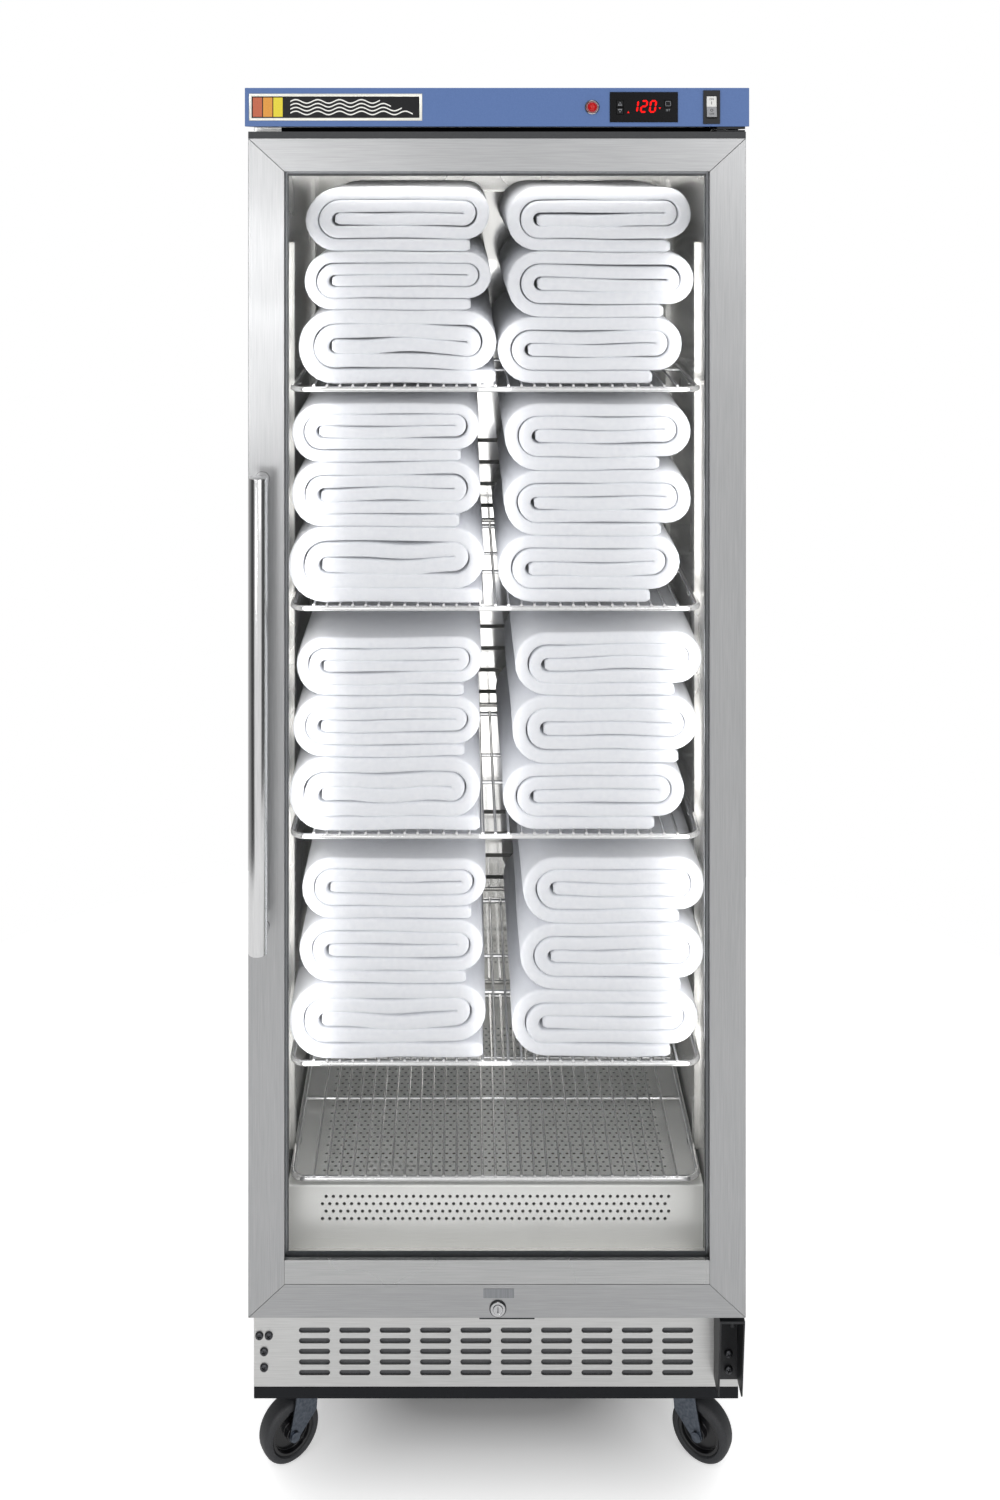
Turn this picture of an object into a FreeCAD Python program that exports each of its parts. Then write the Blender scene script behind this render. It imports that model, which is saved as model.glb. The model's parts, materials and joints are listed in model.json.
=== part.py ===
import FreeCAD, Part
import math
import os
import re
import Sketcher

# A blanket warming cabinet: an insulated steel box on four casters, with a glazed door hinged on the
# right, a control panel above it, five wire shelves, and a heater and blower under a perforated cover.
# Millimetres, +Z up, front towards -Y. The origin is on the floor, under the middle of the whole object.

# Driving dimensions. Angles are in degrees.
SIZES = {
    # Insulated box and base
    "caster_height": 99.5,
    "base_plate_height": 15,
    "base_plate_sheet": 2,
    "base_bay_height": 115.5,
    "floor_thickness": 32,
    "roof_thickness": 48.5,
    "body_width": 592,
    "body_depth": 525.5,
    "wall_thickness": 34,
    "back_thickness": 60,
    "shell_sheet": 1,
    "liner_sheet": 1,
    "rear_sheet": 1,
    # Control panel and top cover
    "control_height": 46,
    "panel_overhang": 4,
    "panel_depth": 60,
    "panel_sheet": 1.5,
    "top_cover_sheet": 1,
    "top_cover_step": 2,
    "nameplate_margin": 5,
    "nameplate_width": 206,
    "nameplate_height": 32,
    "nameplate_thickness": 0.8,
    "lamp_inset": 187,
    "lamp_bezel_radius": 8.8,
    "lamp_bezel_height": 2.5,
    "lamp_barrel_radius": 6.1,
    "lamp_barrel_length": 22,
    "lamp_lens_radius": 6,
    "window_inset": 125.5,
    "window_width": 81,
    "window_height": 36,
    "window_proud": 1.2,
    "window_depth": 3,
    "cutout_margin": 4,
    "board_gap": 6,
    "board_thickness": 1.6,
    "board_post_radius": 1.5,
    "board_post_inset": 3,
    "key_width": 8,
    "key_height": 7.4,
    "key_proud": 0.4,
    "key_travel": 0.5,
    "key_spare": 0.5,
    "arrow_key_shift": -28.4,
    "set_key_shift": 28.7,
    "upper_key_rise": 4.2,
    "key_pitch": 8.7,
    "switch_inset": 45,
    "switch_width": 20,
    "switch_height": 40,
    "switch_proud": 1.5,
    "switch_body_width": 16,
    "switch_body_height": 34,
    "switch_body_depth": 22,
    "switch_cavity_depth": 15,
    "rocker_width": 11.7,
    "rocker_height": 24.6,
    "rocker_end_room": 0.9,
    "rocker_pivot_depth": 3,
    "rocker_end_proud": 5.5,
    "rocker_middle_proud": 4.5,
    "rocker_end_depth": 1,
    "rocker_middle_depth": 4,
    "rocker_pin_radius": 1.5,
    "rocker_pin_reach": 1.2,
    "rocker_tilt": 7,
    # Door
    "door_sill_gap": 6.5,
    "door_head_gap": 6,
    "door_thickness": 40,
    "stile_width": 43,
    "rail_height": 39.5,
    "sill_strip_height": 29,
    "cap_height": 8,
    "rebate": 8,
    "front_lip": 6,
    "glass_thickness": 4,
    "glass_gap": 16,
    "glass_clearance": 0.5,
    "spacer_width": 10,
    "gasket_depth": 9.5,
    "gasket_width": 17,
    "gasket_inset": 15,
    "gasket_sill_rise": 6.5,
    "gasket_head_drop": 19.5,
    "handle_standoff": 50,
    "handle_radius": 11,
    "handle_length": 553,
    "handle_rise": 455.5,
    "handle_inset": 17,
    "handle_post_radius": 9,
    "handle_post_inset": 10.5,
    "lock_offset": 1,
    "lock_rise": 11.5,
    "lock_flange_radius": 10,
    "lock_flange_height": 2.5,
    "lock_barrel_radius": 8.5,
    "lock_barrel_depth": 12,
    "lock_core_radius": 5.5,
    "lock_core_proud": 0.4,
    "keyway_width": 1.4,
    "keyway_height": 7,
    "keyway_depth": 4,
    "cam_length": 20,
    "cam_width": 8,
    "cam_thickness": 2.5,
    "cam_room": 1.5,
    # Hinges and strike
    "hinge_inset": 13,
    "hinge_pin_radius": 4,
    "hinge_pin_depth": 7.7,
    "hinge_pin_tail": 14,
    "hinge_sheet": 3,
    "hinge_flange": 2,
    "hinge_bracket_width": 30,
    "hinge_bracket_height": 103.5,
    "hinge_bracket_foot": 25,
    "hinge_bracket_setback": 4,
    "hinge_plate_width": 34,
    "hinge_plate_margin": 5,
    "hinge_plate_sheet": 3,
    "hinge_head_sheet": 2,
    "hinge_collar_radius": 8,
    "hinge_leg_width": 12,
    "hinge_leg_drop": 30,
    "hinge_leg_sheet": 2,
    "strike_left": 22,
    "strike_right": 44,
    "strike_reach": 42,
    "strike_drop": 22,
    "strike_sheet": 2,
    "strike_gap": 4.5,
    "strike_slot_room": 3,
    # Grille and its screws
    "grille_sheet": 1.2,
    "grille_overlap": 4,
    "grille_columns": 10,
    "grille_rows": 5,
    "grille_slot_length": 38,
    "grille_slot_width": 6.5,
    "grille_column_pitch": 49.3,
    "grille_row_pitch": 12.95,
    "grille_first_row": 17,
    "screw_radius": 5,
    "screw_height": 3.2,
    "screw_inset": 12.5,
    "screw_pair_pitch": 11.5,
    "screw_low_rise": 23.5,
    "screw_pitch": 19.5,
    # Shelves, pilasters and clips
    "shelf_side_gap": 5.5,
    "shelf_front_gap": 25.5,
    "shelf_back_gap": 15,
    "shelf_corner": 16,
    "shelf_rod_radius": 3.5,
    "shelf_wire_radius": 1.75,
    "shelf_cross_radius": 2.5,
    "shelf_wire_margin": 20,
    "shelf_wire_pitch": 16.1,
    "shelf_weld": 0.5,
    "shelf_1_room": 277,
    "shelf_2_room": 272,
    "shelf_3_room": 283,
    "shelf_4_room": 282,
    "shelf_5_room": 143,
    "shelf_5_gap": 8,
    "shelf_cross_inset": 156,
    "pilaster_width": 20,
    "pilaster_depth": 5,
    "pilaster_sheet": 1.2,
    "pilaster_front_inset": 77.5,
    "pilaster_rear_inset": 52.5,
    "pilaster_front_top": 99,
    "pilaster_rear_top": 25,
    "pilaster_slot_height": 6,
    "pilaster_slot_width": 3,
    "pilaster_slot_pitch": 14,
    "clip_width": 12,
    "clip_height": 4,
    "clip_reach": 8,
    # Air duct, heater and blower
    "duct_width": 300,
    "duct_depth": 25,
    "duct_sheet": 1,
    "duct_top_gap": 45,
    "duct_slot_length": 230,
    "duct_slot_height": 6,
    "duct_slot_pitch": 33,
    "duct_slot_rows": 4,
    "duct_first_slot": 27,
    "cover_side_gap": 4,
    "cover_room": 7.5,
    "cover_setback": 28,
    "cover_sheet": 1,
    "cover_hole_radius": 2.25,
    "cover_hole_margin": 36,
    "cover_hole_rows": 4,
    "cover_hole_pitch": 9.05,
    "cover_row_pitch": 9.2,
    "cover_top_row": 14,
    "top_hole_rows": 15,
    "top_hole_pitch": 18.1,
    "top_hole_margin": 55,
    "heater_radius": 4,
    "heater_length": 380,
    "heater_runs": 4,
    "heater_pitch": 44,
    "heater_setback": 70,
    "heater_rise": 36,
    "heater_corner": 14,
    "rotor_radius": 25,
    "rotor_length": 290,
    "rotor_setback": 35,
    "rotor_shaft_radius": 3,
    "rotor_discs": 5,
    "rotor_disc_thickness": 2,
    "rotor_blades": 20,
    "rotor_blade_depth": 6,
    "rotor_blade_sheet": 1,
    "blower_plate": 3,
    "blower_wall": 1.5,
    "blower_wall_gap": 6,
    "blower_floor_gap": 5.5,
    "motor_radius": 30,
    "motor_length": 55,
    "motor_shaft_depth": 20,
    # Mains inlet
    "inlet_width": 48,
    "inlet_height": 28,
    "inlet_depth": 26,
    "inlet_rise": 40,
    "inlet_wall": 3,
    "inlet_socket_depth": 17,
    "inlet_pin_radius": 2,
    "inlet_pin_pitch": 7,
    "inlet_pin_length": 15,
    "vent_slots": 12,
    "vent_slot_length": 28,
    "vent_slot_width": 5,
    "vent_slot_pitch": 40,
    "vent_rise": 85,
    # Casters
    "wheel_radius": 37.5,
    "tyre_width": 25,
    "tyre_shoulder": 6,
    "tyre_bevel": 2.4,
    "hub_radius": 27,
    "hub_width": 22,
    "hub_web": 10,
    "hub_rim": 4,
    "hub_boss_radius": 9,
    "hub_boss_width": 28,
    "axle_radius": 4,
    "axle_head_radius": 6,
    "axle_head_height": 2.5,
    "fork_inside": 29,
    "fork_sheet": 2.5,
    "fork_crown": 3,
    "fork_crown_radius": 17,
    "fork_front": 8,
    "fork_back": 21,
    "fork_shoulder": 20.5,
    "fork_front_taper": 3,
    "fork_eye_radius": 7,
    "fork_eye_across": 5.6,
    "fork_eye_down": 4.2,
    "caster_trail": 25,
    "caster_turn": 33,
    "rear_caster_turn": 18,
    "caster_front_inset": 45,
    "caster_rear_inset": 64,
    "caster_side_inset": 60,
    "caster_plate_length": 84,
    "caster_plate_width": 62,
    "caster_plate_sheet": 2.5,
    "race_radius": 20,
    "race_height": 8,
    "kingpin_radius": 5,
    "kingpin_head_radius": 8.5,
    "kingpin_head": 3,
    "caster_bolt_radius": 5.5,
    "caster_bolt_head": 3.5,
    "caster_bolt_margin": 9,
    # Blankets
    "blanket_side_gap": 20.5,
    "blanket_back_gap": 16,
    "stack_headroom": 25.4,
    "lowest_blanket_extra": 9,
    "blanket_corner": 34,
    "blanket_split": 8,
    "blanket_setback": 2,
    # Clearances
    "running_gap": 0.05,
    "part_gap": 0.3,
}

# Levels and places that follow from the driving dimensions.
PLACES = {
    "bay_low": "caster_height + base_plate_height",
    "box_low": "bay_low + base_bay_height",
    "floor_top": "box_low + floor_thickness",
    "blower_radius": "rotor_radius + blower_wall_gap",
    "rotor_z": "floor_top + blower_radius + blower_wall + blower_floor_gap",
    "cover_top": "rotor_z + blower_radius + blower_wall + cover_room",
    "shelf_5_level": "cover_top + shelf_5_gap",
    "shelf_4_level": "shelf_5_level + shelf_5_room",
    "shelf_3_level": "shelf_4_level + shelf_4_room",
    "shelf_2_level": "shelf_3_level + shelf_3_room",
    "shelf_1_level": "shelf_2_level + shelf_2_room",
    "ceiling": "shelf_1_level + shelf_1_room",
    "roof_top": "ceiling + roof_thickness",
    "control_top": "roof_top + control_height",
    "side": "body_width / 2",
    "skin_in": "side - shell_sheet",
    "chamber_side": "side - wall_thickness",
    "liner_out": "chamber_side + liner_sheet",
    "back": "(handle_standoff + door_thickness + gasket_depth + body_depth) / 2",
    "rear_in": "back - rear_sheet",
    "front": "back - body_depth",
    "flange_back": "front + liner_sheet",
    "grille_front": "front - grille_sheet",
    "chamber_back": "back - back_thickness",
    "door_back": "front - gasket_depth",
    "door_front": "door_back - door_thickness",
    "handle_front": "door_front - handle_standoff",
    "panel_side": "side + panel_overhang",
    "lamp_x": "panel_side - lamp_inset",
    "window_x": "panel_side - window_inset",
    "switch_x": "panel_side - switch_inset",
    "panel_back": "door_front + panel_depth",
    "panel_middle": "(roof_top + control_top) / 2",
    "door_low": "box_low + door_sill_gap",
    "door_high": "roof_top - door_head_gap",
    "frame_high": "door_high - cap_height",
    "window_side": "side - stile_width",
    "rail_top": "door_low + rail_height",
    "window_low": "rail_top + sill_strip_height",
    "window_high": "frame_high - rail_height",
    "glass_front": "door_front + front_lip",
    "glass_back": "glass_front + 2 * glass_thickness + glass_gap",
    "glass_side": "window_side + rebate - glass_clearance",
    "glass_low": "rail_top - rebate + glass_clearance",
    "glass_high": "window_high + rebate - glass_clearance",
    "gasket_side": "side - gasket_inset",
    "gasket_low": "door_low + gasket_sill_rise",
    "gasket_high": "door_high - gasket_head_drop",
    "gasket_back": "front - part_gap",
    "handle_low": "door_low + handle_rise",
    "handle_high": "handle_low + handle_length",
    "handle_x": "-side + handle_inset",
    "handle_y": "handle_front + handle_radius",
    "lock_z": "door_low + lock_rise",
    "cam_front": "door_front + lock_barrel_depth + part_gap",
    "cam_back": "cam_front + cam_thickness",
    "hinge_x": "side - hinge_inset",
    "hinge_y": "(door_front + door_back) / 2",
    "bracket_top": "door_low - hinge_plate_sheet - strike_gap",
    "bracket_low": "bracket_top - hinge_bracket_height",
    "bracket_left": "side - hinge_bracket_width",
    "bracket_back": "grille_front - hinge_sheet",
    "bracket_front": "door_front + hinge_bracket_setback",
    "strike_top": "door_low - strike_gap",
    "duct_front": "chamber_back - duct_depth",
    "shelf_side": "chamber_side - shelf_side_gap",
    "shelf_front": "front + shelf_front_gap",
    "shelf_back": "duct_front - shelf_back_gap",
    "pilaster_face": "chamber_side - pilaster_depth",
    "pilaster_front_y": "shelf_front + pilaster_front_inset",
    "pilaster_rear_y": "shelf_back - pilaster_rear_inset",
    "cover_side": "chamber_side - cover_side_gap",
    "cover_front": "front + cover_setback",
    "blanket_side": "shelf_side - blanket_side_gap",
    "blanket_back": "shelf_back - blanket_back_gap",
    "least_room": "min(shelf_1_room; shelf_2_room; shelf_3_room; shelf_4_room)",
    "blanket_height": "(least_room - stack_headroom - lowest_blanket_extra) / 3 - 2 * part_gap / 3",
    "lowest_blanket_height": "blanket_height + lowest_blanket_extra",
    "rotor_y": "duct_front - rotor_setback",
    "rotor_end": "rotor_length / 2 + part_gap",
    "blower_side": "rotor_end + blower_plate",
    "inlet_z": "bay_low + inlet_rise",
    "window_face": "door_front - window_proud",
    "window_rear": "window_face + window_depth",
    "board_front": "window_rear + board_gap",
    "rocker_y": "door_front + rocker_pivot_depth",
    "caster_x": "side - caster_side_inset",
    "caster_front_y": "front + caster_front_inset",
    "caster_rear_y": "back - caster_rear_inset",
    "race_low": "caster_height - caster_plate_sheet - race_height",
    "crown_top": "race_low - part_gap",
    "crown_low": "crown_top - fork_crown",
    "fork_side": "fork_inside / 2",
    "fork_out": "fork_side + fork_sheet",
}

SHELVES = 5
LOADED_SHELVES = 4
ALIAS = re.compile(r"[a-z]\w*")

document = FreeCAD.newDocument("warming_cabinet")
sizes = document.addObject("Spreadsheet::Sheet", "sizes")
places = document.addObject("Spreadsheet::Sheet", "places")
sub_parts = {}


def bound(formula):
    """The formula with each dimension's name written as a reference to its sheet."""
    def reference(match):
        word = match.group(0)
        if word in SIZES:
            return "sizes." + word
        return "places." + word if word in PLACES else word
    return ALIAS.sub(reference, formula)


def fill_sheets():
    """Write the driving dimensions as plain numbers, then the places as formulas of them."""
    for row, (alias, value) in enumerate(SIZES.items(), start=1):
        sizes.set(f"A{row}", alias)
        sizes.set(f"B{row}", str(value))
        sizes.setAlias(f"B{row}", alias)
    document.recompute()
    for row, (alias, formula) in enumerate(PLACES.items(), start=1):
        places.set(f"A{row}", alias)
        places.setAlias(f"B{row}", alias)
        places.set(f"B{row}", "=" + bound(formula).replace("places.", ""))
    document.recompute()


def value(alias):
    """The number that a dimension or a place now has."""
    sheet = sizes if alias in SIZES else places
    return float(getattr(sheet, alias))


def low_high(low, high):
    """A length formula from two plane formulas."""
    return f"({high}) - ({low})"


def move(piece, x="0", y="0", z="0"):
    """Bind where a piece stands."""
    for name, formula in zip("xyz", (x, y, z)):
        piece.setExpression(f"Placement.Base.{name}", bound(formula))
    return piece


def box(x, y, z):
    """A box between two planes across each direction."""
    piece = document.addObject("Part::Box", "block")
    for name, (low, high) in zip(("Length", "Width", "Height"), (x, y, z)):
        piece.setExpression(name, bound(low_high(low, high)))
    return move(piece, x[0], y[0], z[0])


def mirrored_boxes(x, y, z):
    """Two boxes, one each side of the middle plane."""
    return [box(x, y, z), box((f"-({x[1]})", f"-({x[0]})"), y, z)]


AXES = {
    "x": FreeCAD.Rotation(FreeCAD.Vector(0, 1, 0), 90),
    "y": FreeCAD.Rotation(FreeCAD.Vector(1, 0, 0), -90),
    "z": FreeCAD.Rotation(),
}


def rod(axis, radius, span, across):
    """A cylinder along one axis, over a span of it; across gives its two other coordinates in order."""
    piece = document.addObject("Part::Cylinder", "rod")
    piece.Placement.Rotation = AXES[axis]
    piece.setExpression("Radius", bound(radius))
    piece.setExpression("Height", bound(low_high(*span)))
    where = list(across)
    where.insert("xyz".index(axis), span[0])
    return move(piece, *where)


def ball(radius, x, y, z):
    """A sphere."""
    piece = document.addObject("Part::Sphere", "ball")
    piece.setExpression("Radius", bound(radius))
    return move(piece, x, y, z)


def fuse(*pieces):
    """One solid of several that meet."""
    piece = document.addObject("Part::MultiFuse", "joined")
    piece.Shapes = list(pieces)
    return piece


def group(*pieces):
    """Several separate solids kept as one sub-part."""
    piece = document.addObject("Part::Compound", "set_of")
    piece.Links = list(pieces)
    return piece


def cut(base, *tools):
    """A solid with others taken out of it."""
    piece = document.addObject("Part::Cut", "hollowed")
    piece.Base = base
    piece.Tool = tools[0] if len(tools) == 1 else group(*tools)
    return piece


def shaped(shape):
    """A feature that holds a shape worked out in code."""
    piece = document.addObject("Part::Feature", "formed")
    piece.Shape = shape
    return piece


def sub_part(name, piece):
    """Name a finished piece, so that it is checked and written out."""
    piece.Label = name
    sub_parts[name] = piece
    return piece


def plane_of(body, role):
    """One of a body's own origin planes."""
    return next(feature for feature in body.Origin.OriginFeatures if feature.Role == role)


def draw_polygon(sketch, corners):
    """A closed outline whose corners are bound to formulas."""
    first = sketch.GeometryCount
    count = len(corners)
    turns = [2 * math.pi * i / count for i in range(count)]
    guess = [FreeCAD.Vector(10 * math.cos(turn), 10 * math.sin(turn), 0) for turn in turns]
    for i in range(count):
        sketch.addGeometry(Part.LineSegment(guess[i], guess[(i + 1) % count]), False)
    for i in range(count):
        after = first + (i + 1) % count
        sketch.addConstraint(Sketcher.Constraint("Coincident", first + i, 2, after, 1))
    for i, corner in enumerate(corners):
        for kind, formula, start in zip(("DistanceX", "DistanceY"), corner, guess[i]):
            constraint = sketch.addConstraint(Sketcher.Constraint(kind, -1, 1, first + i, 1, start))
            sketch.setExpression(f"Constraints[{constraint}]", bound(formula))


def draw_circle(sketch, circle):
    """A circle with its centre and radius bound to formulas."""
    across, up, radius = circle
    line = sketch.addGeometry(Part.Circle(FreeCAD.Vector(1, 1, 0), FreeCAD.Vector(0, 0, 1), 5), False)
    for kind, formula in (("DistanceX", across), ("DistanceY", up)):
        constraint = sketch.addConstraint(Sketcher.Constraint(kind, -1, 1, line, 3, 1))
        sketch.setExpression(f"Constraints[{constraint}]", bound(formula))
    constraint = sketch.addConstraint(Sketcher.Constraint("Radius", line, 5))
    sketch.setExpression(f"Constraints[{constraint}]", bound(radius))


def draw(body, role, loops, offset):
    """A sketch on a body's origin plane, moved along that plane's normal. A loop is a list of corners
    or a circle's (across, up, radius)."""
    sketch = body.newObject("Sketcher::SketchObject", "outline")
    sketch.AttachmentSupport = [(plane_of(body, role), "")]
    sketch.MapMode = "FlatFace"
    sketch.setExpression("AttachmentOffset.Base.z", bound(offset))
    for loop in loops:
        if isinstance(loop, tuple):
            draw_circle(sketch, loop)
        else:
            draw_polygon(sketch, loop)
    return sketch


def prism(*layers):
    """A body of pads. Each layer is (plane, loops, low, high), between two planes across its plane."""
    body = document.addObject("PartDesign::Body", "body")
    for role, loops, low, high in layers:
        backwards = role == "XZ_Plane"
        sketch = draw(body, role, loops, f"-({low})" if backwards else low)
        pad = body.newObject("PartDesign::Pad", "pad")
        pad.Profile = sketch
        pad.Reversed = backwards
        pad.setExpression("Length", bound(low_high(low, high)))
        sketch.Visibility = False
    return body


def turned(corners):
    """A body turned about its own Y axis, from an outline of (radius, along) corners."""
    body = document.addObject("PartDesign::Body", "body")
    sketch = draw(body, "XY_Plane", [corners], "0")
    turn = body.newObject("PartDesign::Revolution", "turn")
    turn.Profile = sketch
    turn.ReferenceAxis = (sketch, ["V_Axis"])
    turn.Angle = 360
    return body


def rounded(body, direction, radius):
    """Round a body's straight edges that run along one direction."""
    document.recompute()
    tip = body.Tip
    names = []
    for i, edge in enumerate(tip.Shape.Edges, start=1):
        start, end = edge.Vertexes[0].Point, edge.Vertexes[-1].Point
        along = (end - start).normalize() if (end - start).Length else direction
        if abs(along.dot(direction)) > 0.999:
            names.append(f"Edge{i}")
    fillet = body.newObject("PartDesign::Fillet", "rounding")
    fillet.Base = (tip, names)
    fillet.setExpression("Radius", bound(radius))
    return body


def rectangle(x, z):
    """The four corners between two positions each way."""
    return [(x[0], z[0]), (x[1], z[0]), (x[1], z[1]), (x[0], z[1])]


def slot_outline(point, centre, length, width):
    """A closed round-ended slot, long along its plane's first direction."""
    across, up = centre
    half, radius = (length - width) / 2, width / 2
    corners = [point(across + i * half, up + j * radius) for i, j in ((-1, -1), (1, -1), (1, 1), (-1, 1))]
    ends = [point(across + i * (half + radius), up) for i in (1, -1)]
    edges = [
        Part.makeLine(corners[0], corners[1]),
        Part.Arc(corners[1], ends[0], corners[2]).toShape(),
        Part.makeLine(corners[2], corners[3]),
        Part.Arc(corners[3], ends[1], corners[0]).toShape(),
    ]
    return Part.Wire(edges)


def round_outline(point, centre, radius):
    """A closed circle."""
    normal = (point(1, 0) - point(0, 0)).cross(point(0, 1) - point(0, 0))
    return Part.Wire([Part.makeCircle(radius, point(*centre), normal)])


def box_outline(point, across, up):
    """A closed rectangle between two positions each way."""
    corners = [point(across[i], up[j]) for i, j in ((0, 0), (1, 0), (1, 1), (0, 1))]
    return Part.makePolygon(corners + corners[:1])


def pierced_sheet(outline, holes, thickness):
    """A flat sheet with many holes, thickened by a vector."""
    return Part.makeFace([outline] + holes, "Part::FaceMakerBullseye").extrude(thickness)


def facing_front(y):
    """Points of an upright plane across the cabinet, from (x, z)."""
    return lambda across, up: FreeCAD.Vector(across, y, up)


def facing_side(x):
    """Points of an upright plane along the cabinet's depth, from (z, y)."""
    return lambda up, along: FreeCAD.Vector(x, along, up)


def lying(z):
    """Points of a level plane, from (x, y)."""
    return lambda across, along: FreeCAD.Vector(across, along, z)


def centred(count, pitch):
    """Evenly spaced positions either side of zero."""
    return [(i - (count - 1) / 2) * pitch for i in range(count)]


# ---------------------------------------------------------------------------------------------------
# Insulated box
# ---------------------------------------------------------------------------------------------------

def make_base():
    """The folded base plate, the slotted grille above it and the screws on both sides."""
    depth = ("grille_front", "back")
    tray = box(("-side", "side"), depth, ("caster_height", "bay_low"))
    inside = box(
        ("-side + base_plate_sheet", "side - base_plate_sheet"),
        ("grille_front + base_plate_sheet", "back - base_plate_sheet"),
        ("caster_height + base_plate_sheet", "bay_low"),
    )
    sub_part("base_plate", cut(tray, inside))

    point = facing_front(value("grille_front"))
    first_row = value("bay_low") + value("grille_first_row")
    rows = [first_row + i * value("grille_row_pitch") for i in range(int(value("grille_rows")))]
    columns = centred(int(value("grille_columns")), value("grille_column_pitch"))
    size = value("grille_slot_length"), value("grille_slot_width")
    slots = [slot_outline(point, (x, z), *size) for z in rows for x in columns]
    side = value("side")
    grille_high = value("box_low") + value("grille_overlap")
    outline = box_outline(point, (-side, side), (value("bay_low"), grille_high))
    sheet = FreeCAD.Vector(0, value("grille_sheet"), 0)
    sub_part("grille_panel", shaped(pierced_sheet(outline, slots, sheet)))

    heads = []
    upper = "bay_low + screw_low_rise + 2 * screw_pitch"
    spots = [("-screw_pair_pitch / 2", upper), ("screw_pair_pitch / 2", upper)]
    spots += [("0", f"bay_low + screw_low_rise + {i} * screw_pitch") for i in (0, 1)]
    for shift, height in spots:
        span = ("grille_front - screw_height", "grille_front")
        heads.append(rod("y", "screw_radius", span, (f"-side + screw_inset + {shift}", height)))
    for _, height in spots[2:]:
        span = ("bracket_back - screw_height", "bracket_back")
        heads.append(rod("y", "screw_radius", span, ("side - screw_inset", height)))
    sub_part("panel_screws", group(*heads))


def make_shell():
    """Outer steel skin: two sides, the roof and the underside of the insulated box, and the rear panel."""
    depth = ("front", "rear_in")
    sides = mirrored_boxes(("skin_in", "side"), depth, ("bay_low", "roof_top"))
    roof = box(("-skin_in", "skin_in"), depth, ("roof_top - shell_sheet", "roof_top"))
    underside = box(("-skin_in", "skin_in"), depth, ("box_low", "box_low + shell_sheet"))
    sub_part("outer_shell", group(*sides, roof, underside))

    point = facing_front(value("rear_in"))
    side = value("side")
    outline = box_outline(point, (-side, side), (value("bay_low"), value("roof_top")))
    half_width, half_height = value("inlet_width") / 2, value("inlet_height") / 2
    inlet_z = value("inlet_z")
    openings = [box_outline(point, (-half_width, half_width), (inlet_z - half_height, inlet_z + half_height))]
    vents = centred(int(value("vent_slots")), value("vent_slot_pitch"))
    size = value("vent_slot_length"), value("vent_slot_width")
    openings += [slot_outline(point, (x, value("bay_low") + value("vent_rise")), *size) for x in vents]
    sheet = FreeCAD.Vector(0, value("rear_sheet"), 0)
    sub_part("rear_panel", shaped(pierced_sheet(outline, openings, sheet)))


def make_insulation():
    """Foam slabs that fill the walls between the outer skin and the liner."""
    depth = ("flange_back", "rear_in")
    height = ("box_low + shell_sheet", "roof_top - shell_sheet")
    sides = mirrored_boxes(("liner_out", "skin_in"), depth, height)
    across = ("-liner_out", "liner_out")
    roof = box(across, depth, ("ceiling + liner_sheet", "roof_top - shell_sheet"))
    floor = box(across, depth, ("box_low + shell_sheet", "floor_top - liner_sheet"))
    between = ("floor_top - liner_sheet", "ceiling + liner_sheet")
    rear = box(across, ("chamber_back + liner_sheet", "rear_in"), between)
    sub_part("insulation", group(*sides, roof, floor, rear))


def make_liner():
    """Stainless inner box with a flange all round its mouth for the door's gasket."""
    flange = ("front", "flange_back")
    depth = ("flange_back", "chamber_back + liner_sheet")
    across = ("-chamber_side", "chamber_side")
    panels = mirrored_boxes(
        ("chamber_side", "skin_in"), flange, ("box_low + shell_sheet", "roof_top - shell_sheet"))
    panels.append(box(across, flange, ("ceiling", "roof_top - shell_sheet")))
    panels.append(box(across, flange, ("box_low + shell_sheet", "floor_top")))
    panels += mirrored_boxes(
        ("chamber_side", "liner_out"), depth, ("floor_top - liner_sheet", "ceiling + liner_sheet"))
    panels.append(box(across, depth, ("floor_top - liner_sheet", "floor_top")))
    panels.append(box(across, depth, ("ceiling", "ceiling + liner_sheet")))
    panels.append(box(across, ("chamber_back", "chamber_back + liner_sheet"), ("floor_top", "ceiling")))
    sub_part("liner", group(*panels))


def make_inlet():
    """Mains inlet with three pins, flush with the rear panel."""
    half_width, half_height = "inlet_width / 2", "inlet_height / 2"
    body = box((f"-{half_width}", half_width), ("back - inlet_depth", "back"),
               (f"inlet_z - {half_height}", f"inlet_z + {half_height}"))
    socket = box((f"-{half_width} + inlet_wall", f"{half_width} - inlet_wall"),
                 ("back - inlet_socket_depth", "back"),
                 (f"inlet_z - {half_height} + inlet_wall", f"inlet_z + {half_height} - inlet_wall"))
    bottom = "back - inlet_socket_depth"
    pins = [rod("y", "inlet_pin_radius", (bottom, f"{bottom} + inlet_pin_length"),
                (f"{i} * inlet_pin_pitch", "inlet_z")) for i in (-1, 0, 1)]
    sub_part("mains_inlet", fuse(cut(body, socket), *pins))


# ---------------------------------------------------------------------------------------------------
# Control panel
# ---------------------------------------------------------------------------------------------------

def centred_box(middle, width, depth, level, height):
    """A box centred across and up, between two planes in depth."""
    across = (f"{middle} - ({width}) / 2", f"{middle} + ({width}) / 2")
    return box(across, depth, (f"{level} - ({height}) / 2", f"{level} + ({height}) / 2"))


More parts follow.
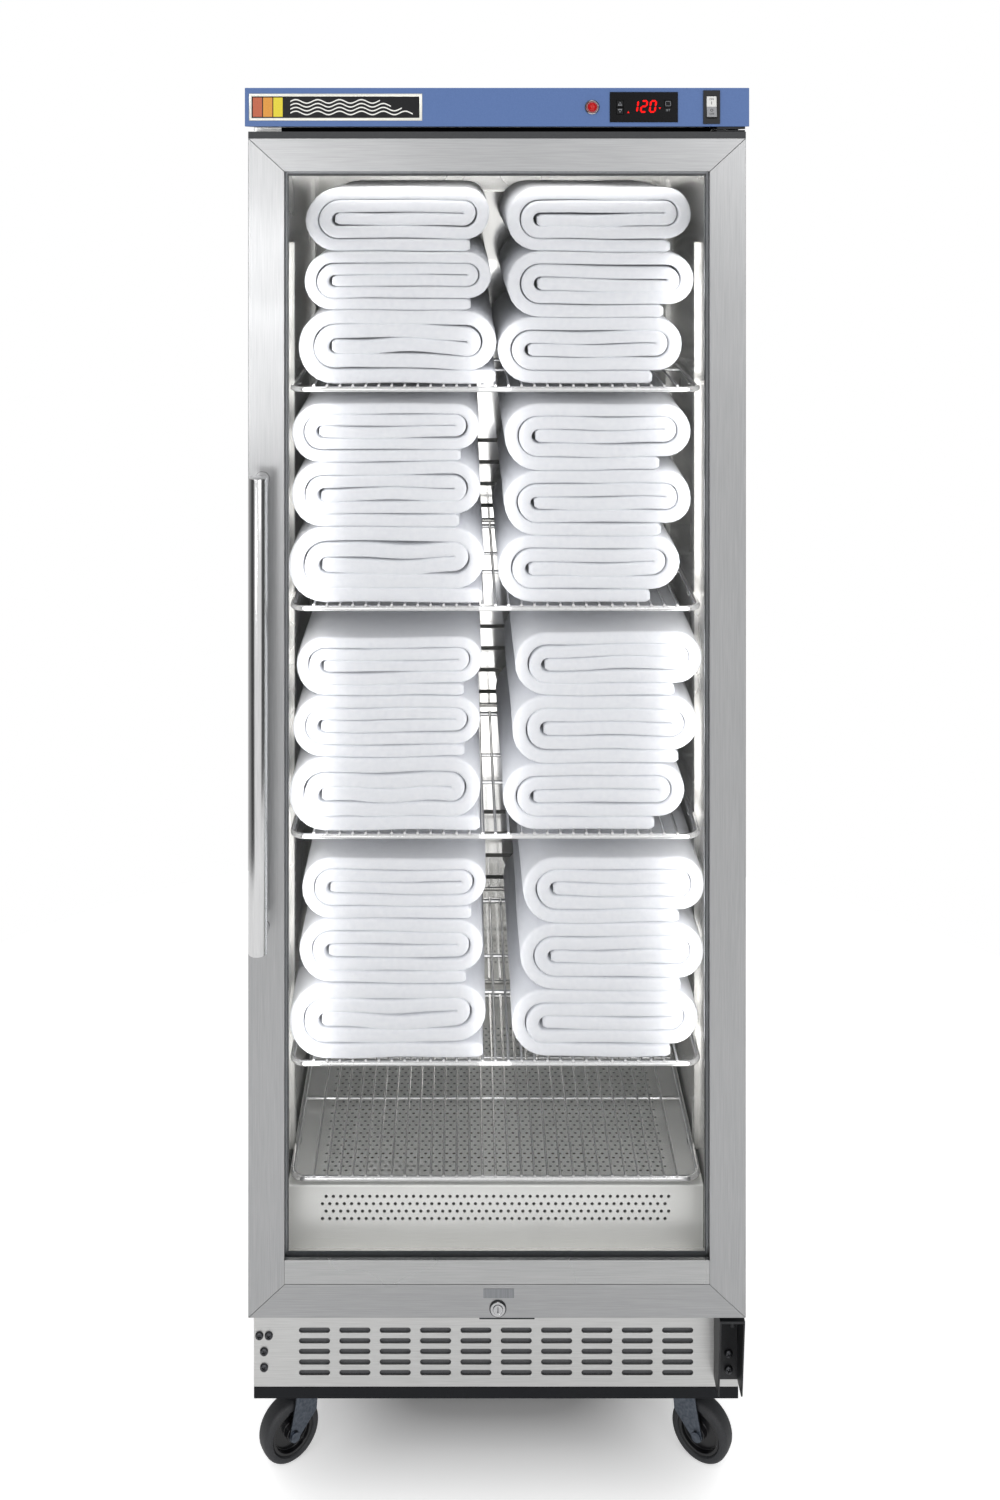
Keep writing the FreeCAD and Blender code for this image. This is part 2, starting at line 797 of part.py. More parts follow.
def make_control_panel():
    """Folded front panel with its cut-outs, the cover behind it and the plate on its left."""
    outside = box(("-panel_side", "panel_side"), ("door_front", "panel_back"), ("roof_top", "control_top"))
    inside = box(("-panel_side + panel_sheet", "panel_side - panel_sheet"),
                 ("door_front + panel_sheet", "panel_back"),
                 ("roof_top + panel_sheet", "control_top - panel_sheet"))
    sheet = ("door_front", "door_front + panel_sheet")
    window = centred_box("window_x", "window_width - 2 * cutout_margin", sheet,
                         "panel_middle", "window_height - 2 * cutout_margin")
    switch = centred_box("switch_x", "switch_body_width", sheet, "panel_middle", "switch_body_height")
    lamp = rod("y", "lamp_barrel_radius", sheet, ("lamp_x", "panel_middle"))
    sub_part("control_panel", cut(outside, inside, window, switch, lamp))

    top = "control_top - top_cover_step"
    outside = box(("-side", "side"), ("panel_back", "back"), ("roof_top", top))
    inside = box(("-side + top_cover_sheet", "side - top_cover_sheet"),
                 ("panel_back", "back - top_cover_sheet"), ("roof_top", f"{top} - top_cover_sheet"))
    sub_part("top_cover", cut(outside, inside))

    left = "-panel_side + nameplate_margin"
    plate = box((left, f"{left} + nameplate_width"), ("door_front - nameplate_thickness", "door_front"),
                ("panel_middle - nameplate_height / 2", "panel_middle + nameplate_height / 2"))
    sub_part("nameplate", plate)


def make_pilot_lamp():
    """A flanged barrel through the panel, with a domed lens on its face."""
    where = ("lamp_x", "panel_middle")
    flange = rod("y", "lamp_bezel_radius", ("door_front - lamp_bezel_height", "door_front"), where)
    barrel = rod("y", "lamp_barrel_radius", ("door_front", "door_front + lamp_barrel_length"), where)
    face = "door_front - lamp_bezel_height"
    dome = ball("lamp_lens_radius", "lamp_x", face, "panel_middle")
    rear_half = box(("lamp_x - lamp_lens_radius", "lamp_x + lamp_lens_radius"),
                    (face, f"{face} + lamp_lens_radius"),
                    ("panel_middle - lamp_lens_radius", "panel_middle + lamp_lens_radius"))
    sub_part("pilot_lamp", group(fuse(flange, barrel), cut(dome, rear_half)))


def make_display():
    """Temperature display: its window, three keys that press in, and the circuit board behind them."""
    flange = centred_box("window_x", "window_width", ("window_face", "door_front"),
                         "panel_middle", "window_height")
    insert = centred_box("window_x", "window_width - 2 * cutout_margin", ("door_front", "window_rear"),
                         "panel_middle", "window_height - 2 * cutout_margin")
    upper = "panel_middle + upper_key_rise"
    keys = {
        "key_up": ("window_x + arrow_key_shift", upper),
        "key_down": ("window_x + arrow_key_shift", f"{upper} - key_pitch"),
        "key_set": ("window_x + set_key_shift", upper),
    }
    depth = ("window_face", "window_rear")
    holes = [centred_box(x, "key_width + 2 * part_gap", depth, z, "key_height + 2 * part_gap")
             for x, z in keys.values()]
    sub_part("display_window", cut(fuse(flange, insert), *holes))

    press = ("window_face - key_proud", "board_front - key_travel - key_spare")
    for name, (x, z) in keys.items():
        sub_part(name, centred_box(x, "key_width", press, z, "key_height"))

    posts = []
    across = "window_width / 2 - cutout_margin - board_post_inset"
    up = "window_height / 2 - cutout_margin - board_post_inset"
    for i in (-1, 1):
        for j in (-1, 1):
            where = (f"window_x + {i} * ({across})", f"panel_middle + {j} * ({up})")
            posts.append(rod("y", "board_post_radius", ("window_rear", "board_front"), where))
    board = centred_box("window_x", "window_width - 2 * cutout_margin",
                        ("board_front", "board_front + board_thickness"),
                        "panel_middle", "window_height - 2 * cutout_margin")
    sub_part("control_board", fuse(board, *posts))


def make_switch():
    """Rocker switch: a flanged housing and the rocker, which tips on two pins. It rests switched on."""
    where = ("switch_x", "panel_middle")
    flange = centred_box(where[0], "switch_width", ("door_front - switch_proud", "door_front"),
                         where[1], "switch_height")
    housing = centred_box(where[0], "switch_body_width", ("door_front", "door_front + switch_body_depth"),
                          where[1], "switch_body_height")
    cavity = centred_box(where[0], "rocker_width + 2 * part_gap",
                         ("door_front - switch_proud", "door_front + switch_cavity_depth"),
                         where[1], "rocker_height + 2 * rocker_end_room")
    reach = "rocker_width / 2 + part_gap + rocker_pin_reach"
    bores = rod("x", "rocker_pin_radius + running_gap",
                (f"switch_x - ({reach} + part_gap)", f"switch_x + {reach} + part_gap"),
                ("rocker_y", "panel_middle"))
    sub_part("switch_bezel", cut(fuse(flange, housing), cavity, bores))

    top = "rocker_height / 2"
    face = [("-rocker_end_proud", top), ("-rocker_middle_proud", "0"), ("-rocker_end_proud", f"-{top}"),
            ("-rocker_end_depth", f"-{top}"), ("rocker_middle_depth", "0"), ("-rocker_end_depth", top)]
    rocker = prism(
        ("YZ_Plane", [face], "-rocker_width / 2", "rocker_width / 2"),
        ("YZ_Plane", [("0", "0", "rocker_pin_radius")], f"-({reach})", reach),
    )
    rocker.Placement.Rotation = FreeCAD.Rotation(FreeCAD.Vector(1, 0, 0), -value("rocker_tilt"))
    move(rocker, "switch_x", "rocker_y", "panel_middle")
    sub_part("rocker_switch", rocker)


# ---------------------------------------------------------------------------------------------------
# Door
# ---------------------------------------------------------------------------------------------------

def frame_layers(outline_at):
    """Front lip, glass channel and rear lip of a door frame member; outline_at gives its outline for
    a rebate, which is nothing at the two lips."""
    return [
        ("XZ_Plane", [outline_at("0")], "door_front", "glass_front"),
        ("XZ_Plane", [outline_at("rebate")], "glass_front", "glass_back"),
        ("XZ_Plane", [outline_at("0")], "glass_back", "door_back"),
    ]


def make_door_frame():
    """Two stiles and two rails mitred at the corners, a sill strip before the glass, and the cap on top."""
    def stile(hand):
        def outline(rebate):
            edge = f"{hand} * (window_side + {rebate})"
            return [(f"{hand} * side", "door_low"), (edge, f"rail_top - {rebate}"),
                    (edge, f"window_high + {rebate}"), (f"{hand} * side", "frame_high")]
        return outline

    def top_rail(rebate):
        edge, level = f"window_side + {rebate}", f"window_high + {rebate}"
        return [("-side", "frame_high"), (f"-({edge})", level), (edge, level), ("side", "frame_high")]

    def bottom_rail(rebate):
        edge, level = f"window_side + {rebate}", f"rail_top - {rebate}"
        return [("-side", "door_low"), ("side", "door_low"), (edge, level), (f"-({edge})", level)]

    stiles = [prism(*frame_layers(stile(hand))) for hand in (-1, 1)]
    lock = rod("y", "lock_barrel_radius", ("door_front", "cam_front"), ("lock_offset", "lock_z"))
    reach = "lock_core_radius + cam_room"
    cam_pocket = box(
        (f"lock_offset - ({reach})", "lock_offset + cam_length + cam_room"),
        ("cam_front - part_gap", "cam_back + cam_room"),
        ("door_low", f"lock_z + {reach}"),
    )
    bore, where = "hinge_pin_radius + running_gap", ("hinge_x", "hinge_y")
    pin_bore = rod("z", bore, ("door_low", "door_low + hinge_pin_depth + part_gap"), where)
    lower = cut(prism(*frame_layers(bottom_rail)), lock, cam_pocket, pin_bore)
    depth = ("door_front", "glass_front")
    sill_strip = box(("-window_side", "window_side"), depth, ("rail_top", "window_low"))
    sub_part("door_frame", group(*stiles, prism(*frame_layers(top_rail)), lower, sill_strip))

    cap = box(("-side", "side"), ("door_front", "door_back"), ("frame_high", "door_high"))
    pin_bore = rod("z", bore, ("frame_high", "door_high"), where)
    sub_part("door_cap", cut(cap, pin_bore))


def make_glazing():
    """Two panes, the spacer bars between them and the magnetic gasket behind the frame."""
    across, up = ("-glass_side", "glass_side"), ("glass_low", "glass_high")
    front_pane = ("glass_front", "glass_front + glass_thickness")
    rear_pane = ("glass_back - glass_thickness", "glass_back")
    sub_part("door_glass", group(box(across, front_pane, up), box(across, rear_pane, up)))

    gap = (front_pane[1], rear_pane[0])
    bars = mirrored_boxes(("glass_side - spacer_width", "glass_side"), gap, up)
    between = ("-(glass_side - spacer_width)", "glass_side - spacer_width")
    bars.append(box(between, gap, ("glass_low", "glass_low + spacer_width")))
    bars.append(box(between, gap, ("glass_high - spacer_width", "glass_high")))
    sub_part("glass_spacer", group(*bars))

    depth = ("door_back", "gasket_back")
    up = ("gasket_low", "gasket_high")
    strips = mirrored_boxes(("gasket_side - gasket_width", "gasket_side"), depth, up)
    between = ("-(gasket_side - gasket_width)", "gasket_side - gasket_width")
    strips.append(box(between, depth, ("gasket_low", "gasket_low + gasket_width")))
    strips.append(box(between, depth, ("gasket_high - gasket_width", "gasket_high")))
    sub_part("door_gasket", group(*strips))


def make_handle():
    """A long round bar carried by two posts at its ends."""
    bar = rod("z", "handle_radius", ("handle_low", "handle_high"), ("handle_x", "handle_y"))
    posts = [rod("y", "handle_post_radius", ("handle_y", "door_front"), ("handle_x", level)) for level in
             ("handle_low + handle_post_inset", "handle_high - handle_post_inset")]
    sub_part("door_handle", fuse(bar, *posts))


def make_lock():
    """A flanged barrel fixed in the bottom rail, and the plug inside it, which turns a cam down."""
    where = ("lock_offset", "lock_z")
    face = "door_front - lock_flange_height"
    barrel_end = "door_front + lock_barrel_depth"
    flange = rod("y", "lock_flange_radius", (face, "door_front"), where)
    barrel = rod("y", "lock_barrel_radius", ("door_front", barrel_end), where)
    bore = rod("y", "lock_core_radius + running_gap", (face, barrel_end), where)
    sub_part("lock_barrel", cut(fuse(flange, barrel), bore))

    core_face = f"{face} - lock_core_proud"
    plug = rod("y", "lock_core_radius", (core_face, "cam_back"), where)
    blade = box(("lock_offset", "lock_offset + cam_length - cam_width / 2"), ("cam_front", "cam_back"),
                ("lock_z - cam_width / 2", "lock_z + cam_width / 2"))
    nose = rod("y", "cam_width / 2", ("cam_front", "cam_back"),
               ("lock_offset + cam_length - cam_width / 2", "lock_z"))
    keyway = centred_box("lock_offset", "keyway_width", (core_face, f"{core_face} + keyway_depth"),
                         "lock_z", "keyway_height")
    sub_part("lock_core", cut(fuse(plug, blade, nose), keyway))


def make_hinges():
    """Lower and upper brackets with fixed pins on the cabinet, and the bored plates on the door."""
    bored = "hinge_pin_radius + running_gap"
    where = ("hinge_x", "hinge_y")
    across = ("bracket_left", "side")
    depth = ("bracket_front", "grille_front")
    back_plate = box(across, ("bracket_back", "grille_front"), ("bracket_low", "bracket_top"))
    top_plate = box(across, depth, ("bracket_top - hinge_sheet", "bracket_top"))
    cheek = [("bracket_back", "bracket_low"), ("bracket_back - hinge_bracket_foot", "bracket_low"),
             ("bracket_front", "bracket_top - hinge_sheet"), ("bracket_back", "bracket_top - hinge_sheet")]
    left_cheek = prism(("YZ_Plane", [cheek], "bracket_left", "bracket_left + hinge_flange"))
    right_cheek = prism(("YZ_Plane", [cheek], "side - hinge_flange", "side"))
    pin = rod("z", "hinge_pin_radius",
              ("bracket_top - hinge_sheet - hinge_pin_tail", "door_low + hinge_pin_depth"), where)
    lower = fuse(back_plate, top_plate, left_cheek, right_cheek, pin)

    plate = box(("side - hinge_plate_width", "side"), ("bracket_front", "front"),
                ("roof_top - hinge_sheet", "roof_top"))
    leg = box(("side - hinge_leg_width", "side"), ("front - hinge_leg_sheet", "front"),
              ("roof_top - hinge_sheet - hinge_leg_drop", "roof_top - hinge_sheet"))
    pin = rod("z", "hinge_pin_radius", ("door_high - hinge_pin_depth", "roof_top - hinge_sheet"), where)
    sub_part("hinge_brackets", group(lower, fuse(plate, leg, pin)))

    across = ("side - hinge_plate_width", "side")
    depth = ("door_front + hinge_plate_margin", "door_back - hinge_plate_margin")
    foot = box(across, depth, ("door_low - hinge_plate_sheet", "door_low"))
    collar_span = ("bracket_top + part_gap", "door_low - hinge_plate_sheet")
    collar = rod("z", "hinge_collar_radius", collar_span, where)
    foot_bore = rod("z", bored, ("bracket_top", "door_low"), where)
    head = box(across, depth, ("door_high", "door_high + hinge_head_sheet"))
    head_bore = rod("z", bored, ("door_high", "door_high + hinge_head_sheet"), where)
    sub_part("door_hinge_plates", group(cut(fuse(foot, collar), foot_bore), cut(head, head_bore)))


def make_strike():
    """A folded plate under the door, with the slot that the lock's cam swings down into."""
    across = ("lock_offset - strike_left", "lock_offset + strike_right")
    level = ("strike_top - strike_sheet", "strike_top")
    shelf = box(across, ("grille_front - strike_reach", "grille_front"), level)
    leg = box(across, ("grille_front - strike_sheet", "grille_front"),
              ("strike_top - strike_drop", "strike_top - strike_sheet"))
    swing = "cam_length - cam_width / 2"
    slot = box(("lock_offset - cam_width / 2 - strike_slot_room", f"lock_offset + {swing}"),
               ("cam_front - strike_slot_room / 2", "cam_back + strike_slot_room / 2"), level)
    sub_part("strike_plate", cut(fuse(shelf, leg), slot))


# ---------------------------------------------------------------------------------------------------
# Inside the chamber
# ---------------------------------------------------------------------------------------------------

def shelf_shape():
    """A wire shelf about its rods' level: a rounded perimeter rod, two cross rods under the wires, and
    wires that run from front to back on top."""
    rod_radius, wire_radius = value("shelf_rod_radius"), value("shelf_wire_radius")
    corner = value("shelf_corner")
    half = value("shelf_side") - rod_radius
    front, back = value("shelf_front") + rod_radius, value("shelf_back") - rod_radius
    straight_x, straight_y = half - corner, (front + corner, back - corner)

    def bar(start, end, radius):
        return Part.makeCylinder(radius, (end - start).Length, start, end - start)

    pieces = []
    for y in (front, back):
        pieces.append(bar(FreeCAD.Vector(-straight_x, y, 0), FreeCAD.Vector(straight_x, y, 0), rod_radius))
    for x in (-half, half):
        start, end = FreeCAD.Vector(x, straight_y[0], 0), FreeCAD.Vector(x, straight_y[1], 0)
        pieces.append(bar(start, end, rod_radius))
    up = FreeCAD.Vector(0, 0, 1)
    quarters = ((straight_x, straight_y[1], 0), (-straight_x, straight_y[1], 90),
                (-straight_x, straight_y[0], 180), (straight_x, straight_y[0], 270))
    for x, y, turn in quarters:
        bend = Part.makeTorus(corner, rod_radius, FreeCAD.Vector(0, 0, 0), up, -180, 180, 90)
        bend.rotate(FreeCAD.Vector(0, 0, 0), up, turn)
        bend.translate(FreeCAD.Vector(x, y, 0))
        pieces.append(bend)
    wire_level = rod_radius + wire_radius - value("shelf_weld")
    cross_radius = value("shelf_cross_radius")
    cross_level = wire_level - wire_radius - cross_radius + value("shelf_weld")
    inset = value("shelf_cross_inset") - rod_radius
    for y in (front + inset, back - inset):
        start, end = FreeCAD.Vector(-half, y, cross_level), FreeCAD.Vector(half, y, cross_level)
        pieces.append(bar(start, end, cross_radius))
    pitch = value("shelf_wire_pitch")
    wires = 1 + 2 * int((half - value("shelf_wire_margin")) / pitch)
    for x in centred(wires, pitch):
        start, end = FreeCAD.Vector(x, front - rod_radius, wire_level), FreeCAD.Vector(x, back, wire_level)
        pieces.append(bar(start, end, wire_radius))
    return pieces[0].multiFuse(pieces[1:])


def make_shelves():
    """Five equal shelves, the slotted pilasters on the side walls and the clips between them."""
    shape = shelf_shape()
    for number in range(1, SHELVES + 1):
        shelf = sub_part(f"shelf_{number}", shaped(shape))
        move(shelf, z=f"shelf_{number}_level")

    strips = []
    size = value("pilaster_slot_height"), value("pilaster_slot_width")
    bottom, pitch = value("cover_top") + value("part_gap"), value("pilaster_slot_pitch")
    half, sheet = value("pilaster_width") / 2, value("pilaster_sheet")
    for place in ("front", "rear"):
        middle, top = value(f"pilaster_{place}_y"), value("ceiling") - value(f"pilaster_{place}_top")
        levels = [bottom + (i + 1) * pitch for i in range(int((top - bottom) / pitch) - 1)]
        for hand in (-1, 1):
            point = facing_side(hand * (value("pilaster_face") + sheet))
            outline = box_outline(point, (bottom, top), (middle - half, middle + half))
            slots = [slot_outline(point, (level, middle), *size) for level in levels]
            face = pierced_sheet(outline, slots, FreeCAD.Vector(-hand * sheet, 0, 0))
            wall = value("pilaster_depth") - sheet
            corner_x = value("pilaster_face") + sheet if hand > 0 else -value("chamber_side")
            flanges = [Part.makeBox(wall, sheet, top - bottom, FreeCAD.Vector(corner_x, y, bottom))
                       for y in (middle - half, middle + half - sheet)]
            strips.append(shaped(face.multiFuse(flanges)))
    sub_part("shelf_pilasters", group(*strips))

    clips = []
    for number in range(1, SHELVES + 1):
        top = f"shelf_{number}_level - shelf_rod_radius"
        for place in ("pilaster_front_y", "pilaster_rear_y"):
            depth = (f"{place} - clip_width / 2", f"{place} + clip_width / 2")
            clips += mirrored_boxes(("pilaster_face - clip_reach", "pilaster_face"), depth,
                                    (f"{top} - clip_height", top))
    sub_part("shelf_clips", group(*clips))


def make_duct():
    """Raised duct panel on the back wall, with a few level slots above each of the middle shelves."""
    top = "ceiling - duct_top_gap"
    outside = box(("-duct_width / 2", "duct_width / 2"), ("duct_front", "chamber_back"), ("cover_top", top))
    inside = box(("-duct_width / 2 + duct_sheet", "duct_width / 2 - duct_sheet"),
                 ("duct_front + duct_sheet", "chamber_back"), ("cover_top", f"{top} - duct_sheet"))
    point = facing_front(value("duct_front"))
    size = value("duct_slot_length"), value("duct_slot_height")
    through = FreeCAD.Vector(0, value("duct_sheet"), 0)
    shapes = []
    for number in range(2, LOADED_SHELVES + 1):
        first = value(f"shelf_{number}_level") + value("duct_first_slot")
        levels = [first + i * value("duct_slot_pitch") for i in range(int(value("duct_slot_rows")))]
        shapes += [Part.Face(slot_outline(point, (0, z), *size)).extrude(through) for z in levels]
    sub_part("air_duct", cut(outside, inside, shaped(Part.makeCompound(shapes))))


def make_heater():
    """Perforated cover over the chamber's floor, and the heating element under it."""
    half = value("cover_side")
    room = half - value("cover_hole_margin")
    front, top = value("cover_front"), value("cover_top")
    sheet = value("cover_sheet")
    radius = value("cover_hole_radius")
    point = facing_front(front)
    pitch = value("cover_hole_pitch")
    holes = []
    for row in range(int(value("cover_hole_rows"))):
        level = top - value("cover_top_row") - row * value("cover_row_pitch")
        stagger = pitch / 4 if row % 2 else -pitch / 4
        holes += [round_outline(point, (x + stagger, level), radius)
                  for x in centred(2 * int(room / pitch), pitch)]
    outline = box_outline(point, (-half, half), (value("floor_top"), top - sheet))
    face = pierced_sheet(outline, holes, FreeCAD.Vector(0, sheet, 0))

    point = lying(top - sheet)
    pitch = value("top_hole_pitch")
    holes = []
    for row in range(int(value("top_hole_rows"))):
        along = front + value("top_hole_margin") + row * pitch
        stagger = pitch / 4 if row % 2 else -pitch / 4
        holes += [round_outline(point, (x + stagger, along), radius)
                  for x in centred(2 * int(room / pitch), pitch)]
    outline = box_outline(point, (-half, half), (front, value("duct_front")))
    lid = pierced_sheet(outline, holes, FreeCAD.Vector(0, 0, sheet))
    sub_part("heater_cover", group(shaped(face), shaped(lid)))
    sub_part("heater_element", shaped(heater_shape()))


def heater_shape():
    """A tube that rises from the floor, runs to and fro across the chamber, and goes down again."""
    level, pitch = value("floor_top") + value("heater_rise"), value("heater_pitch")
    floor, bend = value("floor_top"), value("heater_corner")
    half = value("heater_length") / 2
    start_y = value("cover_front") + value("heater_setback")
    edges = []

    def run(*points):
        edges.append(Part.makeLine(*points))

    def arc(*points):
        edges.append(Part.Arc(*points).toShape())

    slant = bend * (1 - math.sqrt(0.5))
    run(FreeCAD.Vector(-half, start_y, floor), FreeCAD.Vector(-half, start_y, level - bend))
    arc(FreeCAD.Vector(-half, start_y, level - bend), FreeCAD.Vector(-half + slant, start_y, level - slant),
        FreeCAD.Vector(-half + bend, start_y, level))
    runs = int(value("heater_runs"))
    hand = 1
    for i in range(runs):
        y = start_y + i * pitch
        near = -hand * (half - bend)
        far = hand * (half - bend)
        run(FreeCAD.Vector(near, y, level), FreeCAD.Vector(far, y, level))
        if i < runs - 1:
            arc(FreeCAD.Vector(far, y, level), FreeCAD.Vector(far + hand * pitch / 2, y + pitch / 2, level),
                FreeCAD.Vector(far, y + pitch, level))
            hand = -hand
    side = hand * half
    arc(FreeCAD.Vector(side - hand * bend, y, level), FreeCAD.Vector(side - hand * slant, y, level - slant),
        FreeCAD.Vector(side, y, level - bend))
    run(FreeCAD.Vector(side, y, level - bend), FreeCAD.Vector(side, y, floor))
    circle = Part.Wire([Part.makeCircle(value("heater_radius"), FreeCAD.Vector(-half, start_y, floor))])
    return Part.Wire(edges).makePipeShell([circle], True, False)


def rotor_shape():
    """A cross-flow rotor about the X axis: a shaft, discs along it and blades between their rims."""
    radius, length = value("rotor_radius"), value("rotor_length")
    along = FreeCAD.Vector(1, 0, 0)
    shaft_end = value("blower_side")
    tail = shaft_end + value("motor_shaft_depth")
    shaft_start = FreeCAD.Vector(-tail, 0, 0)
    shaft = Part.makeCylinder(value("rotor_shaft_radius"), shaft_end + tail, shaft_start, along)
    pieces = []
    thickness = value("rotor_disc_thickness")
    for x in centred(int(value("rotor_discs")), (length - thickness) / (value("rotor_discs") - 1)):
        pieces.append(Part.makeCylinder(radius, thickness, FreeCAD.Vector(x - thickness / 2, 0, 0), along))
    depth, sheet = value("rotor_blade_depth"), value("rotor_blade_sheet")
    corner = FreeCAD.Vector(-length / 2, -sheet / 2, radius - depth - sheet)
    count = int(value("rotor_blades"))
    for i in range(count):
        blade = Part.makeBox(length, sheet, depth, corner)
        blade.rotate(FreeCAD.Vector(0, 0, 0), along, 360 * i / count)
        pieces.append(blade)
    return shaft.multiFuse(pieces)


def make_blower():
    """Cross-flow blower at the foot of the duct: rotor, housing with two end plates, and motor."""
    rotor = sub_part("blower_rotor", shaped(rotor_shape()))
    move(rotor, y="rotor_y", z="rotor_z")

    where = ("rotor_y", "rotor_z")
    bored = "rotor_shaft_radius + running_gap"
    reach = "blower_radius + blower_wall"
    plates = []
    for low, high in (("-blower_side", "-rotor_end"), ("rotor_end", "blower_side")):
        plate = box((low, high), ("rotor_y - blower_radius", f"rotor_y + {reach}"),
                    ("floor_top", "rotor_z + blower_radius"))
        plates.append(cut(plate, rod("x", bored, (low, high), where)))
    across = ("-rotor_end", "rotor_end")
    tube = rod("x", reach, across, where)
    hollow = rod("x", "blower_radius", across, where)
    mouth = box(across, (f"rotor_y - ({reach})", "rotor_y"), (f"rotor_z - ({reach})", f"rotor_z + {reach}"))
    outlet = box(across, ("rotor_y", f"rotor_y + {reach}"), ("rotor_z", f"rotor_z + {reach}"))
    sub_part("blower_housing", fuse(*plates, cut(tube, hollow, mouth, outlet)))

    body = rod("x", "motor_radius", ("-blower_side - motor_length", "-blower_side"), where)
    bore = rod("x", bored, ("-blower_side - motor_shaft_depth - part_gap", "-blower_side"), where)
    foot = box(("-blower_side - motor_length", "-blower_side"), ("rotor_y - motor_radius / 2",
               "rotor_y + motor_radius / 2"), ("floor_top", "rotor_z - motor_radius / 2"))
    sub_part("blower_motor", cut(fuse(body, foot), bore))


def make_blankets():
    """Two stacks of three folded blankets on each of the upper four shelves."""
    depth = ("shelf_front + blanket_setback", "blanket_back")
    for number in range(1, LOADED_SHELVES + 1):
        level = (f"shelf_{number}_level + shelf_rod_radius + 2 * shelf_wire_radius"
                 " - shelf_weld + part_gap")
        blankets = []
        for height in ("lowest_blanket_height", "blanket_height", "blanket_height"):
            top = f"{level} + {height}"
            for low, high in (("-blanket_side", "-blanket_split / 2"),
                              ("blanket_split / 2", "blanket_side")):
                fold = prism(("XZ_Plane", [rectangle((low, high), (level, top))], *depth))
                blankets.append(rounded(fold, FreeCAD.Vector(0, 1, 0), "blanket_corner"))
            level = f"{top} + part_gap"
        sub_part(f"blankets_shelf_{number}", group(*blankets))


# ---------------------------------------------------------------------------------------------------
# Casters
# ---------------------------------------------------------------------------------------------------

CASTERS = {
    "front_left": ("-caster_x", "caster_front_y", "180 + caster_turn"),
    "front_right": ("caster_x", "caster_front_y", "-caster_turn"),
    "rear_left": ("-caster_x", "caster_rear_y", "180 + rear_caster_turn"),
    "rear_right": ("caster_x", "caster_rear_y", "rear_caster_turn"),
}


def make_caster_plate(x, y):
    """Mounting plate with its ball race, the riveted kingpin and four bolt heads."""
    under = "caster_height - caster_plate_sheet"
    length, width = "caster_plate_length / 2", "caster_plate_width / 2"
    plate = box((f"{x} - {length}", f"{x} + {length}"), (f"{y} - {width}", f"{y} + {width}"),
                (under, "caster_height"))
    race = rod("z", "race_radius", ("race_low", under), (x, y))
    rivet_low = "crown_low - part_gap"
    pin = rod("z", "kingpin_radius", (rivet_low, "race_low"), (x, y))
    head = rod("z", "kingpin_head_radius", (f"{rivet_low} - kingpin_head", rivet_low), (x, y))
    solids = [fuse(plate, race, pin, head)]
    for i in (-1, 1):
        for j in (-1, 1):
            where = (f"{x} + {i} * ({length} - caster_bolt_margin)",
                     f"{y} + {j} * ({width} - caster_bolt_margin)")
            solids.append(rod("z", "caster_bolt_radius", (f"{under} - caster_bolt_head", under), where))
    return solids


def make_fork():
    """Pressed fork about its swivel axis: a bored crown, two tapering legs and the riveted axle."""
    top, eye = "crown_top", "wheel_radius"
    leg = [("-fork_front", top), ("fork_back", top), ("caster_trail + fork_eye_radius", eye),
           ("caster_trail - fork_eye_across", f"{eye} - fork_eye_down"),
           ("-fork_front + fork_front_taper", f"{eye} + fork_shoulder")]
    eye_circle = ("caster_trail", eye, "fork_eye_radius")
    axle = ("caster_trail", eye, "axle_radius")
    head = ("caster_trail", eye, "axle_head_radius")
    hole = ("0", "0", "kingpin_radius + running_gap")
    crown = rectangle(("-fork_front", "fork_back"), ("-fork_out", "fork_out"))
    sides = (("-fork_out", "-fork_side"), ("fork_side", "fork_out"))
    layers = [("XY_Plane", [crown, hole], "crown_low", top),
              ("XY_Plane", [("0", "0", "fork_crown_radius"), hole], "crown_low", top)]
    for low, high in sides:
        layers += [("XZ_Plane", [leg], low, high), ("XZ_Plane", [eye_circle], low, high)]
    layers += [("XZ_Plane", [axle], "-fork_side", "fork_side"),
               ("XZ_Plane", [head], "-fork_out - axle_head_height", "-fork_out"),
               ("XZ_Plane", [head], "fork_out", "fork_out + axle_head_height")]
    return prism(*layers)


def make_tyre():
    """Solid tyre about its axle, with rounded shoulders."""
    half = "tyre_width / 2"
    shoulder, bevel = f"{half} - tyre_shoulder", f"{half} - tyre_bevel"
    outward = [("hub_radius", half), ("wheel_radius - tyre_shoulder", half),
               ("wheel_radius - tyre_bevel", bevel), ("wheel_radius", shoulder)]
    inward = [(radius, f"-({level})") for radius, level in reversed(outward)]
    return turned(outward + inward)


def make_hub():
    """Moulded hub about its axle: a boss with the running bore, a web and a rim."""
    bore = "axle_radius + running_gap"
    boss, web, rim = "hub_boss_width / 2", "hub_web / 2", "hub_width / 2"
    inner = "hub_radius - hub_rim"
    outward = [("hub_boss_radius", boss), ("hub_boss_radius", web), (inner, web), (inner, rim),
               ("hub_radius", rim)]
    inward = [(radius, f"-({level})") for radius, level in reversed(outward)]
    return turned([(bore, boss)] + outward + inward + [(bore, f"-({boss})")])


